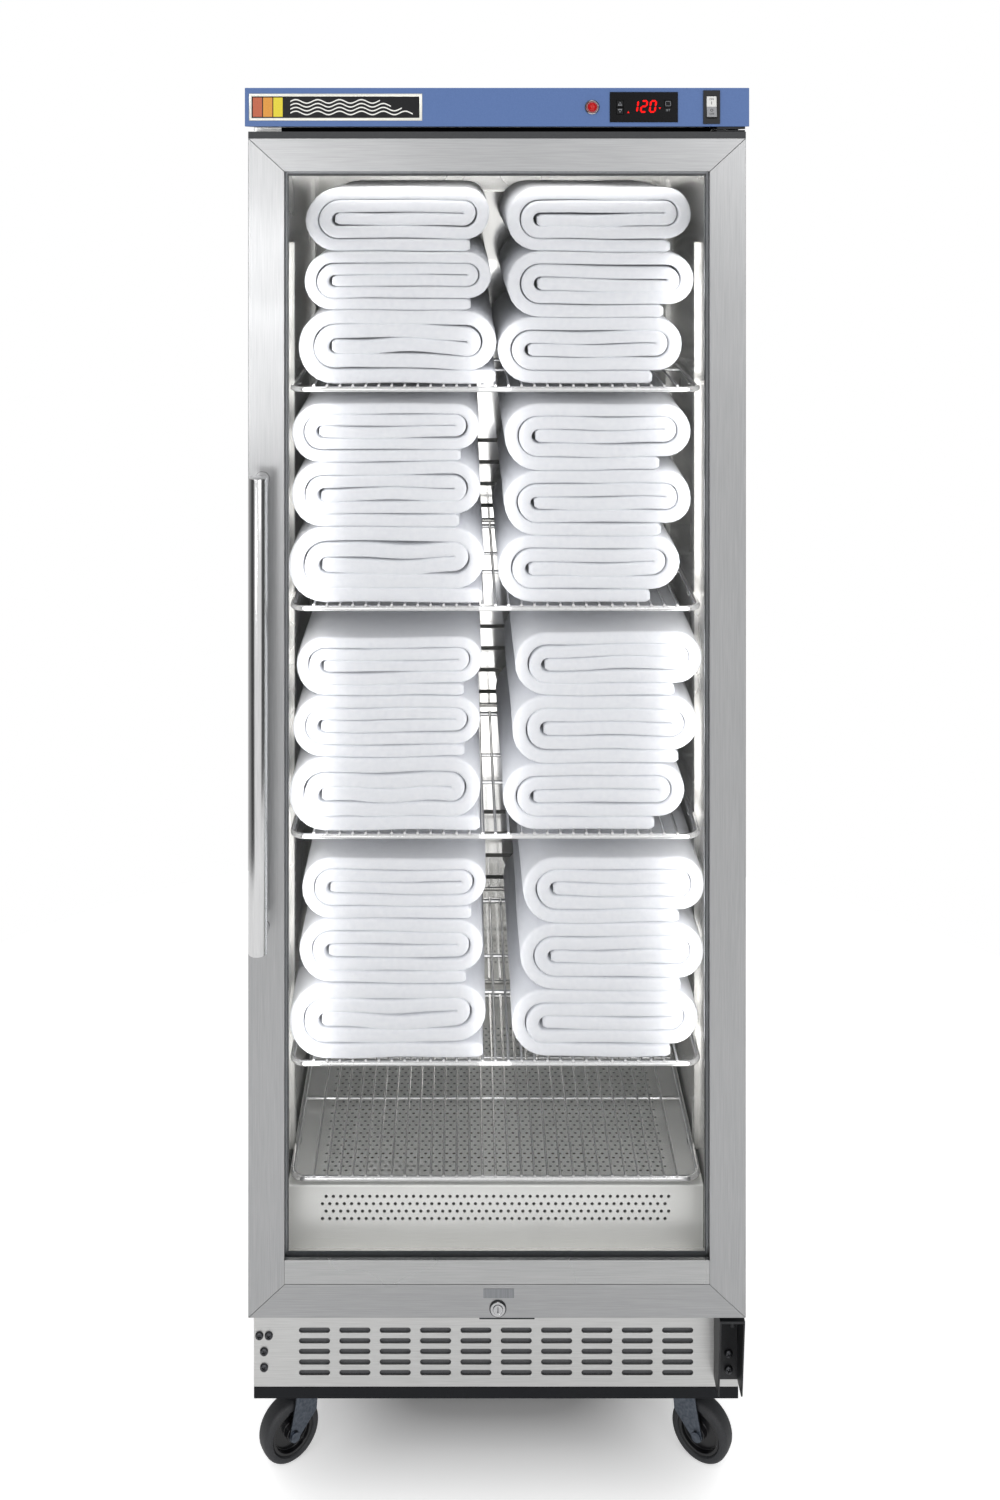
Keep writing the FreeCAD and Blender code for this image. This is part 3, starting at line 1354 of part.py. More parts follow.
def make_casters():
    """Four swivel casters, with the fork turned about the kingpin and the wheel behind it."""
    plates = []
    for name, (x, y, turn) in CASTERS.items():
        plates += make_caster_plate(x, y)
        wheel_x = f"{x} + caster_trail * cos({turn})"
        wheel_y = f"{y} + caster_trail * sin({turn})"
        for label, body, where in (
            ("fork", make_fork(), (x, y, "0")),
            ("tyre", make_tyre(), (wheel_x, wheel_y, "wheel_radius")),
            ("hub", make_hub(), (wheel_x, wheel_y, "wheel_radius")),
        ):
            body.Placement.Rotation = FreeCAD.Rotation(FreeCAD.Vector(0, 0, 1), 1)
            body.setExpression("Placement.Rotation.Angle", bound(turn))
            move(body, *where)
            sub_part(f"{label}_{name}", body)
    sub_part("caster_plates", group(*plates))


# ---------------------------------------------------------------------------------------------------
# Build, check and write out
# ---------------------------------------------------------------------------------------------------

def check_and_write():
    """Stop on any failed feature or faulty shape, then write one STEP file for each sub-part."""
    document.recompute()
    for piece in document.Objects:
        if {"Invalid", "Error"} & set(piece.State):
            raise RuntimeError(f"{piece.Name} ({piece.Label}) failed: {piece.State}")
    for name, piece in sub_parts.items():
        if piece.Shape.isNull() or not piece.Shape.isValid() or not piece.Shape.Solids:
            raise RuntimeError(f"{name} has a faulty shape")
    os.makedirs("parts", exist_ok=True)
    for name, piece in sub_parts.items():
        piece.Shape.exportStep(os.path.join("parts", f"{name}.step"))
    print(len(sub_parts), "sub-parts")


fill_sheets()
make_base()
make_shell()
make_insulation()
make_liner()
make_inlet()
make_control_panel()
make_pilot_lamp()
make_display()
make_switch()
make_door_frame()
make_glazing()
make_handle()
make_lock()
make_hinges()
make_strike()
make_shelves()
make_duct()
make_heater()
make_blower()
make_blankets()
make_casters()
check_and_write()
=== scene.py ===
"""The looks of a blanket warming cabinet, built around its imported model. Metres, +Z up, front towards -Y."""
import json
import logging
import math
from contextlib import contextmanager
from dataclasses import dataclass, field
from enum import Enum
from typing import Any, Callable, Iterator, Sequence

import bmesh
import bpy
import numpy as np
from mathutils import Matrix, Vector, noise


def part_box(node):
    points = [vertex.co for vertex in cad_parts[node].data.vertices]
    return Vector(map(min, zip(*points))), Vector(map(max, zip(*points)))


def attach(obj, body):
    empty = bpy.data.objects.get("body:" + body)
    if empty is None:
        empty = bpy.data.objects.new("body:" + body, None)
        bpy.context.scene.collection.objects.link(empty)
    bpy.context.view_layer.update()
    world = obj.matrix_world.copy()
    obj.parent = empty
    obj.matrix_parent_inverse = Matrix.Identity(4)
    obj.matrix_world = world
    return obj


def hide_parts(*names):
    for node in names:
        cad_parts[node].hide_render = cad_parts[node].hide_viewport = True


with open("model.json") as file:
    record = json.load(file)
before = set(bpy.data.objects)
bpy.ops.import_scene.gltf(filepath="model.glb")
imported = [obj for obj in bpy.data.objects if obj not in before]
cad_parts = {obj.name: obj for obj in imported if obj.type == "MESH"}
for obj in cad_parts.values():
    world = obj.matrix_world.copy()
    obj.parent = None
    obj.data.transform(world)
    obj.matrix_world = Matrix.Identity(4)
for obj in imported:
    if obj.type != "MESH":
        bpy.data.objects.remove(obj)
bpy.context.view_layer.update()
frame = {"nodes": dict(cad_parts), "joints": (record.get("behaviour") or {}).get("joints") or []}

LOG = logging.getLogger("warming_cabinet")

Colour = tuple[float, float, float]
Triple = tuple[float, float, float]
Point = tuple[float, float]
Scale = float | Triple

MM = 0.001
QUARTER = math.radians(90)
SMOOTH_BELOW = math.radians(32)  # edges that turn by less are shaded smooth
EASE_ABOVE = math.radians(35)  # edges that turn by more are eased
FLAT_WITHIN = math.radians(0.6)  # faces that turn by less count as one
MERGE_WITHIN = 2e-6  # corners nearer than this become one
NO_SIZE = 1e-7  # edges shorter than this go
CELL_MERGE = 0.02 * MM  # corners of neighbouring tiles nearer than this become one
CAPITAL_SHARE = 0.69  # height of a capital in a font of size one
MOSTLY = 0.5  # share of a normal from which a face counts as facing that way
FINE_DETAIL = 4.0  # detail of the finer noise patterns
ROD_SIDES, CROSS_SIDES, WIRE_SIDES, BEND_STEPS = 14, 12, 10, 8


class Axis(Enum):
    """A direction of the cabinet: across, in depth, or up."""

    ACROSS = 0
    DEPTH = 1
    UP = 2


class Pattern(Enum):
    """How a finish varies over its surface."""

    GRAIN = "grain"
    CELLS = "cells"


# ---------------------------------------------------------------------------------------------------
# Finishes
# ---------------------------------------------------------------------------------------------------

def linear(colour: Colour) -> tuple[float, float, float, float]:
    """Turn a colour of 0 to 255 display values into linear light.

    Args:
        colour: Red, green and blue display values.

    Returns:
        Linear red, green, blue and an alpha of one.
    """
    parts = [c / 255 for c in colour]
    lit = [c / 12.92 if c <= 0.04045 else ((c + 0.055) / 1.055) ** 2.4 for c in parts]
    return (lit[0], lit[1], lit[2], 1.0)


class Tree:
    """A node tree with short calls for adding nodes and for arithmetic."""

    def __init__(self, tree: bpy.types.NodeTree) -> None:
        """Take hold of a tree."""
        self.tree = tree

    def fill(self, node: bpy.types.Node, sockets: dict[Any, Any]) -> bpy.types.Node:
        """Fill a node's sockets, by name or number, with values or with links from other nodes.

        Args:
            node: The node.
            sockets: What goes into each socket.

        Returns:
            The same node.
        """
        for key, value in sockets.items():
            if isinstance(value, bpy.types.NodeSocket):
                self.tree.links.new(value, node.inputs[key])
            else:
                node.inputs[key].default_value = value
        return node

    def add(self, kind: str, sockets: dict[Any, Any] | None = None, **settings: Any) -> bpy.types.Node:
        """Add a node, set its properties, and fill its sockets.

        Args:
            kind: Type of the node.
            sockets: What goes into each socket.
            settings: Its properties.

        Returns:
            The node.
        """
        node = self.tree.nodes.new(kind)
        for name, value in settings.items():
            setattr(node, name, value)
        return self.fill(node, sockets or {})

    def sum(self, operation: str, *values: Any) -> bpy.types.NodeSocket:
        """One step of arithmetic on numbers or sockets."""
        return self.add("ShaderNodeMath", dict(enumerate(values)), operation=operation).outputs[0]


class ShaderTree(Tree):
    """A material's node tree with short calls for the patterns that the finishes share."""

    def __init__(self, name: str) -> None:
        """Start a material with one Principled surface.

        Args:
            name: Name of the material.
        """
        self.material = bpy.data.materials.new(name)
        self.material.use_nodes = True
        super().__init__(self.material.node_tree)
        self.tree.nodes.clear()
        self.surface = self.add("ShaderNodeBsdfPrincipled")
        self.output = self.add("ShaderNodeOutputMaterial", {"Surface": self.surface.outputs[0]})

    def set(self, **values: Any) -> None:
        """Fill sockets of the Principled surface; an underscore stands for a space."""
        self.fill(self.surface, {name.replace("_", " "): value for name, value in values.items()})

    def place(self, scale: Scale) -> bpy.types.NodeSocket:
        """Object coordinates stretched by a scale, in pattern cells per metre.

        Args:
            scale: Cells per metre, alike or in each direction.

        Returns:
            The coordinates.
        """
        where = self.add("ShaderNodeTexCoord").outputs["Object"]
        stretch = scale if isinstance(scale, tuple) else (scale, scale, scale)
        return self.add("ShaderNodeMapping", {"Vector": where, "Scale": stretch}).outputs["Vector"]

    def noise(self, scale: Scale, detail: float = 3.0) -> bpy.types.NodeSocket:
        """A soft random pattern of the given cells per metre."""
        sockets = {"Vector": self.place(scale), "Scale": 1.0, "Detail": detail}
        return self.add("ShaderNodeTexNoise", sockets).outputs["Fac"]

    def cells(self, scale: Scale) -> bpy.types.NodeSocket:
        """A pattern of random cells, each of one tone."""
        node = self.add("ShaderNodeTexVoronoi", {"Vector": self.place(scale), "Scale": 1.0})
        return self.add("ShaderNodeRGBToBW", {"Color": node.outputs["Color"]}).outputs["Val"]

    def between(self, factor: bpy.types.NodeSocket, low: float, high: float,
                start: float = 0.3, end: float = 0.7) -> bpy.types.NodeSocket:
        """Map a pattern's middle range onto two values.

        Args:
            factor: The pattern.
            low: Value at and below start.
            high: Value at and above end.
            start: Where the change begins.
            end: Where the change ends.

        Returns:
            The mapped value.
        """
        sockets = {"Value": factor, "From Min": start, "From Max": end, "To Min": low, "To Max": high}
        return self.add("ShaderNodeMapRange", sockets).outputs["Result"]

    def blend(self, factor: bpy.types.NodeSocket, low: Colour, high: Colour,
              start: float = 0.3, end: float = 0.7) -> bpy.types.NodeSocket:
        """Map a pattern's middle range onto two colours.

        Args:
            factor: The pattern.
            low: Colour at and below start.
            high: Colour at and above end.
            start: Where the change begins.
            end: Where the change ends.

        Returns:
            The mapped colour.
        """
        node = self.add("ShaderNodeValToRGB", {"Fac": factor})
        for element, position, colour in zip(node.color_ramp.elements, (start, end), (low, high)):
            element.position, element.color = position, linear(colour)
        return node.outputs["Color"]

    def bump(self, height: bpy.types.NodeSocket, depth: float, strength: float) -> None:
        """Lift the surface by a pattern, by up to a depth in metres."""
        sockets = {"Height": height, "Distance": depth, "Strength": strength}
        self.set(Normal=self.add("ShaderNodeBump", sockets).outputs["Normal"])


@dataclass(frozen=True)
class Surface:
    """Anything that can be made into a material."""

    name: str

    def material(self) -> bpy.types.Material:
        """The surface's material, made the first time it is asked for."""
        label = f"{self.name}_finish"
        return bpy.data.materials.get(label) or self.build(ShaderTree(label))

    def build(self, tree: ShaderTree) -> bpy.types.Material:
        """Fill the node tree."""
        raise NotImplementedError


@dataclass(frozen=True)
class Finish(Surface):
    """A surface whose colour and gloss vary with one fine pattern and one broad one."""

    dark: Colour
    light: Colour
    rough: Point
    scale: Scale
    metallic: float = 0.0
    pattern: Pattern = Pattern.GRAIN
    depth: float = 0.00002
    strength: float = 0.3
    broad: float = 6.0
    broad_detail: float = 2.0
    coat: float = 0.0
    specular: float = 0.5
    emission: float = 0.0

    def build(self, tree: ShaderTree) -> bpy.types.Material:
        """Drive colour and bump by the fine pattern and gloss by the broad one.

        Args:
            tree: The tree to fill.

        Returns:
            Its material.
        """
        fine = tree.cells(self.scale) if self.pattern is Pattern.CELLS else tree.noise(self.scale)
        gloss = tree.between(tree.noise(self.broad, self.broad_detail), *self.rough)
        tree.set(Base_Color=tree.blend(fine, self.dark, self.light), Roughness=gloss,
                 Metallic=self.metallic, Coat_Weight=self.coat, Specular_IOR_Level=self.specular)
        tree.bump(fine, self.depth, self.strength)
        if self.emission:
            tree.set(Emission_Color=linear(self.light), Emission_Strength=self.emission)
        return tree.material


@dataclass(frozen=True)
class Glass(Surface):
    """Thin clear glass: what lies behind shows through it, and it mirrors a little of the room."""

    tint: float = 0.995
    mirror: float = 0.12
    bend: float = 1.5
    colour: Triple = (0.9, 0.95, 0.93)
    wipe: Triple = (3.0, 3.0, 9.0)
    rough: Point = (0.015, 0.05)

    def build(self, tree: ShaderTree) -> bpy.types.Material:
        """Mix a clear surface with a faint mirror, stronger at grazing angles, with faint wiping marks.

        Args:
            tree: The tree to fill.

        Returns:
            Its material.
        """
        gloss = tree.between(tree.noise(self.wipe, FINE_DETAIL), *self.rough)
        tree.set(Base_Color=(*self.colour, 1.0), Roughness=gloss)
        clear = tree.add("ShaderNodeBsdfTransparent", {"Color": (self.tint, self.tint, self.tint, 1.0)})
        fresnel = tree.add("ShaderNodeFresnel", {"IOR": self.bend})
        mix = tree.add("ShaderNodeMixShader", {
            "Fac": tree.sum("MULTIPLY", fresnel.outputs[0], self.mirror), 1: clear.outputs[0],
            2: tree.surface.outputs[0]})
        tree.fill(tree.output, {"Surface": mix.outputs[0]})
        return tree.material


@dataclass(frozen=True)
class Fleece(Surface):
    """Soft brushed fleece: short fibres in small clumps, with a faint sheen."""

    dark: Colour = (234, 236, 242)
    light: Colour = (249, 250, 253)
    fibre: Triple = (1300.0, 780.0, 1300.0)
    clump: float = 190.0
    shares: Point = (0.45, 0.55)
    rough: Point = (0.85, 1.0)
    depth: float = 0.0006
    strength: float = 0.45
    sheen: Point = (0.35, 0.5)
    specular: float = 0.2

    def build(self, tree: ShaderTree) -> bpy.types.Material:
        """Mix clumps and fibres into the colour and the bump.

        Args:
            tree: The tree to fill.

        Returns:
            Its material.
        """
        clumps, fibres = tree.noise(self.clump, FINE_DETAIL), tree.noise(self.fibre)
        fibre_share, clump_share = self.shares
        both = tree.sum("MULTIPLY_ADD", fibres, fibre_share, tree.sum("MULTIPLY", clumps, clump_share))
        sheen, sheen_rough = self.sheen
        tree.set(Base_Color=tree.blend(both, self.dark, self.light),
                 Roughness=tree.between(clumps, *self.rough),
                 Sheen_Weight=sheen, Sheen_Roughness=sheen_rough, Specular_IOR_Level=self.specular)
        tree.bump(both, self.depth, self.strength)
        return tree.material


GRAIN_ALONG: dict[Axis, Triple] = {
    Axis.ACROSS: (25.0, 2200.0, 2200.0),
    Axis.DEPTH: (2200.0, 25.0, 2200.0),
    Axis.UP: (2200.0, 2200.0, 25.0),
}


def brushed(name: str, dark: Colour, light: Colour, along: Axis, rough: Point = (0.28, 0.36),
            metallic: float = 1.0) -> Finish:
    """Brushed sheet metal whose grain runs one way.

    Args:
        name: Name of the material.
        dark: Colour in the grain's lines.
        light: Colour between them.
        along: Direction of the grain.
        rough: Lowest and highest roughness.
        metallic: How metallic it is.

    Returns:
        The finish.
    """
    return Finish(name, dark, light, rough, GRAIN_ALONG[along], metallic, depth=0.000012, strength=0.25)


DOOR_UPRIGHT = brushed("door_steel_upright", (160, 161, 162), (175, 175, 176), Axis.UP)
DOOR_LEVEL = brushed("door_steel_level", (156, 157, 158), (171, 171, 172), Axis.ACROSS)
SHELL_STEEL = brushed("shell_steel", (172, 173, 174), (188, 189, 190), Axis.UP, (0.32, 0.42))
GRILLE_STEEL = brushed("grille_steel", (190, 190, 189), (206, 206, 205), Axis.ACROSS, (0.3, 0.42))
CHAMBER_STEEL = brushed("chamber_steel", (234, 233, 230), (244, 243, 240), Axis.UP, (0.2, 0.3), 0.7)
DUCT_STEEL = Finish("duct_steel", (238, 237, 234), (248, 247, 244), (0.05, 0.09), (60, 60, 12), 0.95,
                    depth=0.000002)
COVER_STEEL = brushed("cover_steel", (232, 232, 229), (244, 244, 241), Axis.ACROSS, (0.3, 0.42), 0.3)
CHROME = Finish("chrome_wire", (216, 216, 217), (232, 232, 232), (0.14, 0.2), 900, 0.85, depth=0.000005)
HANDLE_STEEL = brushed("handle_steel", (200, 200, 201), (218, 218, 218), Axis.UP, (0.16, 0.2))
BLUE_PAINT = Finish("blue_paint", (80, 107, 158), (88, 115, 166), (0.36, 0.44), 1400, depth=0.00001,
                    strength=0.2, specular=0.3)
BLACK_PAINT = Finish("black_paint", (11, 12, 15), (21, 23, 28), (0.5, 0.62), 1500, depth=0.00004,
                     strength=0.5, specular=0.2)
BAFFLE_GREY = Finish("baffle_grey", (88, 89, 91), (100, 101, 103), (0.5, 0.6), 400)
BRACKET_PAINT = Finish("bracket_paint", (34, 35, 37), (46, 47, 49), (0.38, 0.48), 900, 0.2, specular=0.3)
# dark steel on the heater cover's inner faces: painted shade under the punched lid
COVER_UNDERSIDE_SHADE = Finish("cover_underside_shade", (52, 50, 48), (70, 67, 64), (0.5, 0.6), 300, 0.6)
# near black, for the strip that paints in the shade of the gap above the door
GAP_SHADE_BLACK = Finish("gap_shade_black", (12, 12, 14), (20, 20, 22), (0.7, 0.8), 500, specular=0.1)
SILL_STEEL = brushed("sill_steel", (168, 169, 169), (184, 184, 184), Axis.ACROSS, (0.24, 0.3))
DARK_ZINC = Finish("dark_zinc", (62, 63, 66), (84, 85, 88), (0.3, 0.42), 700, 0.9)
PLAIN_ZINC = Finish("plain_zinc", (176, 177, 178), (196, 197, 198), (0.3, 0.4), 700, 1.0)
FOAM = Finish("insulation_foam", (214, 196, 142), (232, 218, 170), (0.85, 0.95), 420, pattern=Pattern.CELLS,
              depth=0.0004, strength=0.6)
CAP_PAINT = Finish("door_cap_paint", (54, 55, 57), (64, 65, 67), (0.4, 0.5), 900, specular=0.25)
SPACER_ALLOY = brushed("spacer_alloy", (128, 130, 133), (150, 152, 155), Axis.UP, (0.35, 0.45))
GLASS_EDGE = Finish("glass_edge_band", (46, 48, 51), (60, 62, 65), (0.3, 0.4), 600)
GASKET = Finish("gasket_rubber", (92, 94, 97), (112, 114, 117), (0.6, 0.75), 500, depth=0.00006)
LOCK_CHROME = Finish("lock_chrome", (176, 176, 178), (198, 198, 199), (0.08, 0.14), 800, 1.0)
PLATE_FIELD = Finish("nameplate_field", (18, 18, 20), (26, 26, 28), (0.25, 0.32), 700, specular=0.2)
PLATE_RIM = Finish("nameplate_rim", (206, 205, 196), (222, 221, 212), (0.25, 0.35), 700, 0.6)
WARM_WHITE = Finish("wave_ink", (228, 227, 222), (240, 239, 234), (0.35, 0.45), 700)
RUST_INK = Finish("rust_ink", (176, 84, 48), (188, 94, 56), (0.35, 0.45), 700)
AMBER_INK = Finish("amber_ink", (208, 138, 40), (218, 148, 48), (0.35, 0.45), 700)
YELLOW_INK = Finish("yellow_ink", (214, 196, 34), (224, 206, 42), (0.35, 0.45), 700)
LAMP_RED = Finish("lamp_red", (150, 10, 12), (196, 18, 16), (0.16, 0.24), 1500, coat=0.15, specular=0.3,
                  emission=0.08)
DISPLAY_BLACK = Finish("display_black", (9, 9, 11), (14, 14, 16), (0.2, 0.28), 900, specular=0.12)
DIGIT_RED = Finish("digit_red", (214, 6, 6), (248, 12, 8), (0.4, 0.5), 1200, specular=0.1, emission=0.7)
GREY_INK = Finish("grey_ink", (120, 122, 126), (140, 142, 146), (0.4, 0.5), 900)
KEY_BLACK = Finish("key_black", (16, 16, 18), (24, 24, 26), (0.3, 0.4), 900, specular=0.15)
CIRCUIT = Finish("circuit_board", (18, 74, 44), (32, 98, 60), (0.35, 0.5), 260, pattern=Pattern.CELLS)
SWITCH_BLACK = Finish("switch_black", (28, 29, 31), (38, 39, 41), (0.36, 0.46), 900, depth=0.00003,
                      specular=0.25)
# a lit and a shaded copy of the rocker's plastic: painted light and shade
ROCKER_LIT_HALF = Finish("rocker_lit_half", (206, 206, 204), (222, 222, 220), (0.3, 0.4), 900)
ROCKER_SHADED_HALF = Finish("rocker_shaded_half", (136, 137, 140), (152, 153, 156), (0.3, 0.4), 900)
INLET_BLACK = Finish("inlet_black", (26, 27, 29), (36, 37, 40), (0.4, 0.5), 800, depth=0.00004)
GALVANISED = Finish("galvanised", (166, 169, 172), (180, 183, 186), (0.3, 0.45), 120, 1.0,
                    pattern=Pattern.CELLS, depth=0.00001, strength=0.2)
HEATER = Finish("heater_sheath", (84, 74, 66), (112, 98, 86), (0.35, 0.5), 300, 0.9)
MOTOR = Finish("motor_grey", (84, 88, 92), (100, 104, 108), (0.45, 0.55), 900, 0.2, depth=0.00004)
BLANKET = Fleece("blanket_fleece")
CASTER_STEEL = Finish("caster_steel", (82, 88, 97), (106, 112, 121), (0.26, 0.38), 300, 1.0)
TYRE = Finish("tyre_rubber", (34, 35, 38), (48, 49, 52), (0.5, 0.66), 900, depth=0.00006)
HUB = Finish("hub_black", (12, 12, 14), (20, 20, 23), (0.22, 0.34), 900, coat=0.15)
CLEAR = Glass("clear_glass")


# ---------------------------------------------------------------------------------------------------
# Meshes
# ---------------------------------------------------------------------------------------------------

@dataclass(frozen=True)
class Block:
    """A box between two corners, in metres."""

    low: Vector
    high: Vector

    @classmethod
    def of(cls, node: str) -> "Block":
        """The box that holds a CAD node."""
        return cls(*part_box(node))

    @property
    def middle(self) -> Vector:
        """The box's centre."""
        return (self.low + self.high) / 2

    @property
    def size(self) -> Vector:
        """The box's three lengths."""
        return self.high - self.low


def shaded(mesh: bpy.types.Mesh, below: float = SMOOTH_BELOW) -> bpy.types.Mesh:
    """Shade a mesh smooth except across edges that turn by more than an angle.

    Args:
        mesh: The mesh to shade.
        below: The angle, in radians.

    Returns:
        The same mesh.
    """
    mesh.shade_smooth()
    mesh.set_sharp_from_angle(angle=below)
    return mesh


def mesh_of(name: str, vertices: Sequence[Any], faces: Sequence[Sequence[int]]) -> bpy.types.Mesh:
    """A mesh from corners and faces, with its doubles merged and its normals outward.

    Args:
        name: Name of the mesh.
        vertices: Corner positions.
        faces: Corner numbers of each face.

    Returns:
        The mesh.
    """
    mesh = bpy.data.meshes.new(name)
    mesh.from_pydata([tuple(v) for v in vertices], [], [list(f) for f in faces])
    return cleaned(mesh)


@contextmanager
def edited(mesh: bpy.types.Mesh) -> Iterator[bmesh.types.BMesh]:
    """Open a mesh for a change and write it back with its faces turned outward.

    Args:
        mesh: The mesh to change.

    Returns:
        The open mesh, for the length of a with block.
    """
    work = bmesh.new()
    work.from_mesh(mesh)
    yield work
    bmesh.ops.recalc_face_normals(work, faces=work.faces)
    work.to_mesh(mesh)
    work.free()


def cleaned(mesh: bpy.types.Mesh, tidy: bool = False) -> bpy.types.Mesh:
    """Merge a mesh's doubles and turn its faces outward; tidy also joins faces that lie flat together.

    Args:
        mesh: The mesh to clean.
        tidy: Whether flat faces are joined too.

    Returns:
        The same mesh.
    """
    with edited(mesh) as work:
        bmesh.ops.remove_doubles(work, verts=work.verts, dist=MERGE_WITHIN)
        if tidy:
            bmesh.ops.dissolve_limit(work, angle_limit=FLAT_WITHIN, verts=work.verts, edges=work.edges)
    return mesh


def joined(*meshes: bpy.types.Mesh) -> bpy.types.Mesh:
    """One mesh that holds several, each with its own finishes.

    Args:
        meshes: The meshes.

    Returns:
        A new mesh.
    """
    work = bmesh.new()
    slots: list[bpy.types.Material | None] = []
    for mesh in meshes:
        first = len(work.faces)
        work.from_mesh(mesh)
        work.faces.ensure_lookup_table()
        used = list(mesh.materials) or [None]
        for face in work.faces[first:]:
            face.material_index = min(face.material_index, len(used) - 1) + len(slots)
        slots += used
    result = bpy.data.meshes.new("joined")
    work.to_mesh(result)
    work.free()
    for material in slots:
        result.materials.append(material)
    return result


def finished(mesh: bpy.types.Mesh, finish: Any) -> bpy.types.Mesh:
    """Give a mesh one finish.

    Args:
        mesh: The mesh.
        finish: Its finish.

    Returns:
        The same mesh.
    """
    mesh.materials.clear()
    mesh.materials.append(finish.material())
    return mesh


def shown(name: str, data: Any) -> bpy.types.Object:
    """A new object in the scene.

    Args:
        name: Name of the object.
        data: What it holds.

    Returns:
        The object.
    """
    item = bpy.data.objects.new(name, data)
    bpy.context.scene.collection.objects.link(item)
    return item


def evaluated(holder: bpy.types.Object) -> bpy.types.Mesh:
    """The plain mesh that an object's modifiers or letters make; the object goes.

    Args:
        holder: The object.

    Returns:
        A new mesh.
    """
    graph = bpy.context.evaluated_depsgraph_get()
    mesh = bpy.data.meshes.new_from_object(holder.evaluated_get(graph), depsgraph=graph)
    holder.modifiers.clear()
    bpy.data.objects.remove(holder)
    return mesh


def modified(mesh: bpy.types.Mesh, kind: str, **settings: Any) -> bpy.types.Mesh:
    """The mesh that a modifier makes of another.

    Args:
        mesh: The mesh to change.
        kind: The modifier's type.
        settings: The modifier's properties.

    Returns:
        A new mesh.
    """
    holder = shown("work", mesh)
    modifier = holder.modifiers.new("work", kind)
    for name, value in settings.items():
        setattr(modifier, name, value)
    return evaluated(holder)


def eased(mesh: bpy.types.Mesh, width: float, segments: int = 2) -> bpy.types.Mesh:
    """Round a mesh's sharp edges a little, as a folded, cast or moulded edge is.

    Args:
        mesh: The mesh to ease.
        width: Width of the rounding.
        segments: Its steps.

    Returns:
        A new mesh.
    """
    shaded(mesh)
    return modified(mesh, "BEVEL", width=width, segments=segments, limit_method="ANGLE",
                    angle_limit=EASE_ABOVE, harden_normals=True)


def pierced(mesh: bpy.types.Mesh, tool: bpy.types.Mesh) -> bpy.types.Mesh:
    """Take one closed mesh out of another.

    Args:
        mesh: The mesh to cut.
        tool: The shape to take out of it.

    Returns:
        A new mesh.
    """
    cutter = shown("cutter", tool)
    result = modified(mesh, "BOOLEAN", operation="DIFFERENCE", solver="EXACT", object=cutter)
    bpy.data.objects.remove(cutter)
    return result


def node_mesh(node: str) -> bpy.types.Mesh:
    """A merged copy of a CAD node's mesh."""
    return cleaned(frame["nodes"][node].data.copy(), tidy=True)


def slab(low: Sequence[float], high: Sequence[float]) -> bpy.types.Mesh:
    """A plain box between two corners.

    Args:
        low: The corner with the lowest values.
        high: The opposite corner.

    Returns:
        The mesh.
    """
    corners = [(x, y, z) for x in (low[0], high[0]) for y in (low[1], high[1]) for z in (low[2], high[2])]
    faces = [(0, 1, 3, 2), (4, 6, 7, 5), (0, 4, 5, 1), (2, 3, 7, 6), (0, 2, 6, 4), (1, 5, 7, 3)]
    return mesh_of("slab", corners, faces)


def raised(point: Point, along: float, axis: Axis) -> tuple[float, ...]:
    """A flat point with its place along an axis put in.

    Args:
        point: The flat point.
        along: Its place along the axis.
        axis: The axis.

    Returns:
        The point in space.
    """
    place = list(point)
    place.insert(axis.value, along)
    return tuple(place)


def walls(first: int, second: int, count: int) -> list[Sequence[int]]:
    """Faces between two closed loops of as many corners, each given by its first corner's number."""
    return [(first + i, first + (i + 1) % count, second + (i + 1) % count, second + i) for i in range(count)]


def tube_faces(rings: int, count: int, ends: bool = True) -> list[Sequence[int]]:
    """Faces of a tube of several loops of corners, with or without its two ends.

    Args:
        rings: Number of loops.
        count: Corners in each loop.
        ends: Whether the ends are closed.

    Returns:
        Corner numbers of each face.
    """
    faces = [face for ring in range(rings - 1) for face in walls(ring * count, (ring + 1) * count, count)]
    if ends:
        faces += [list(range(count)), list(range((rings - 1) * count, rings * count))]
    return faces


def prism(outline: Sequence[Point], low: float, high: float, axis: Axis = Axis.UP) -> bpy.types.Mesh:
    """A flat outline pushed along an axis.

    Args:
        outline: Corners in the other two directions, in the order across, depth, up.
        low: Where the prism starts.
        high: Where it ends.
        axis: The direction of the push.

    Returns:
        The closed mesh.
    """
    vertices = [raised(p, along, axis) for along in (low, high) for p in outline]
    return mesh_of("prism", vertices, tube_faces(2, len(outline)))


def lathed(profile: Sequence[Point], steps: int = 48, place: Matrix | None = None) -> bpy.types.Mesh:
    """A closed shape turned about its own Z axis.

    Args:
        profile: Points of radius and height, from pole to pole.
        steps: Number of sides.
        place: Where the shape goes.

    Returns:
        The closed mesh.
    """
    turns = [2 * math.pi * i / steps for i in range(steps)]
    vertices = [(r * math.cos(a), r * math.sin(a), h) for r, h in profile for a in turns]
    faces = tube_faces(len(profile), steps, ends=False)
    mesh = mesh_of("turned", vertices, faces)
    remove_flat_faces(mesh)
    mesh.transform(place or Matrix())
    return mesh


def remove_flat_faces(mesh: bpy.types.Mesh) -> None:
    """Drop faces and edges of no size, which a turned pole leaves."""
    with edited(mesh) as work:
        bmesh.ops.dissolve_degenerate(work, dist=NO_SIZE, edges=work.edges)


def arc(centre: Point, radius: float, start: float, end: float, steps: int) -> list[Point]:
    """Points of an arc; angles are in degrees."""
    turns = [math.radians(start + (end - start) * i / steps) for i in range(steps + 1)]
    return [(centre[0] + radius * math.cos(a), centre[1] + radius * math.sin(a)) for a in turns]


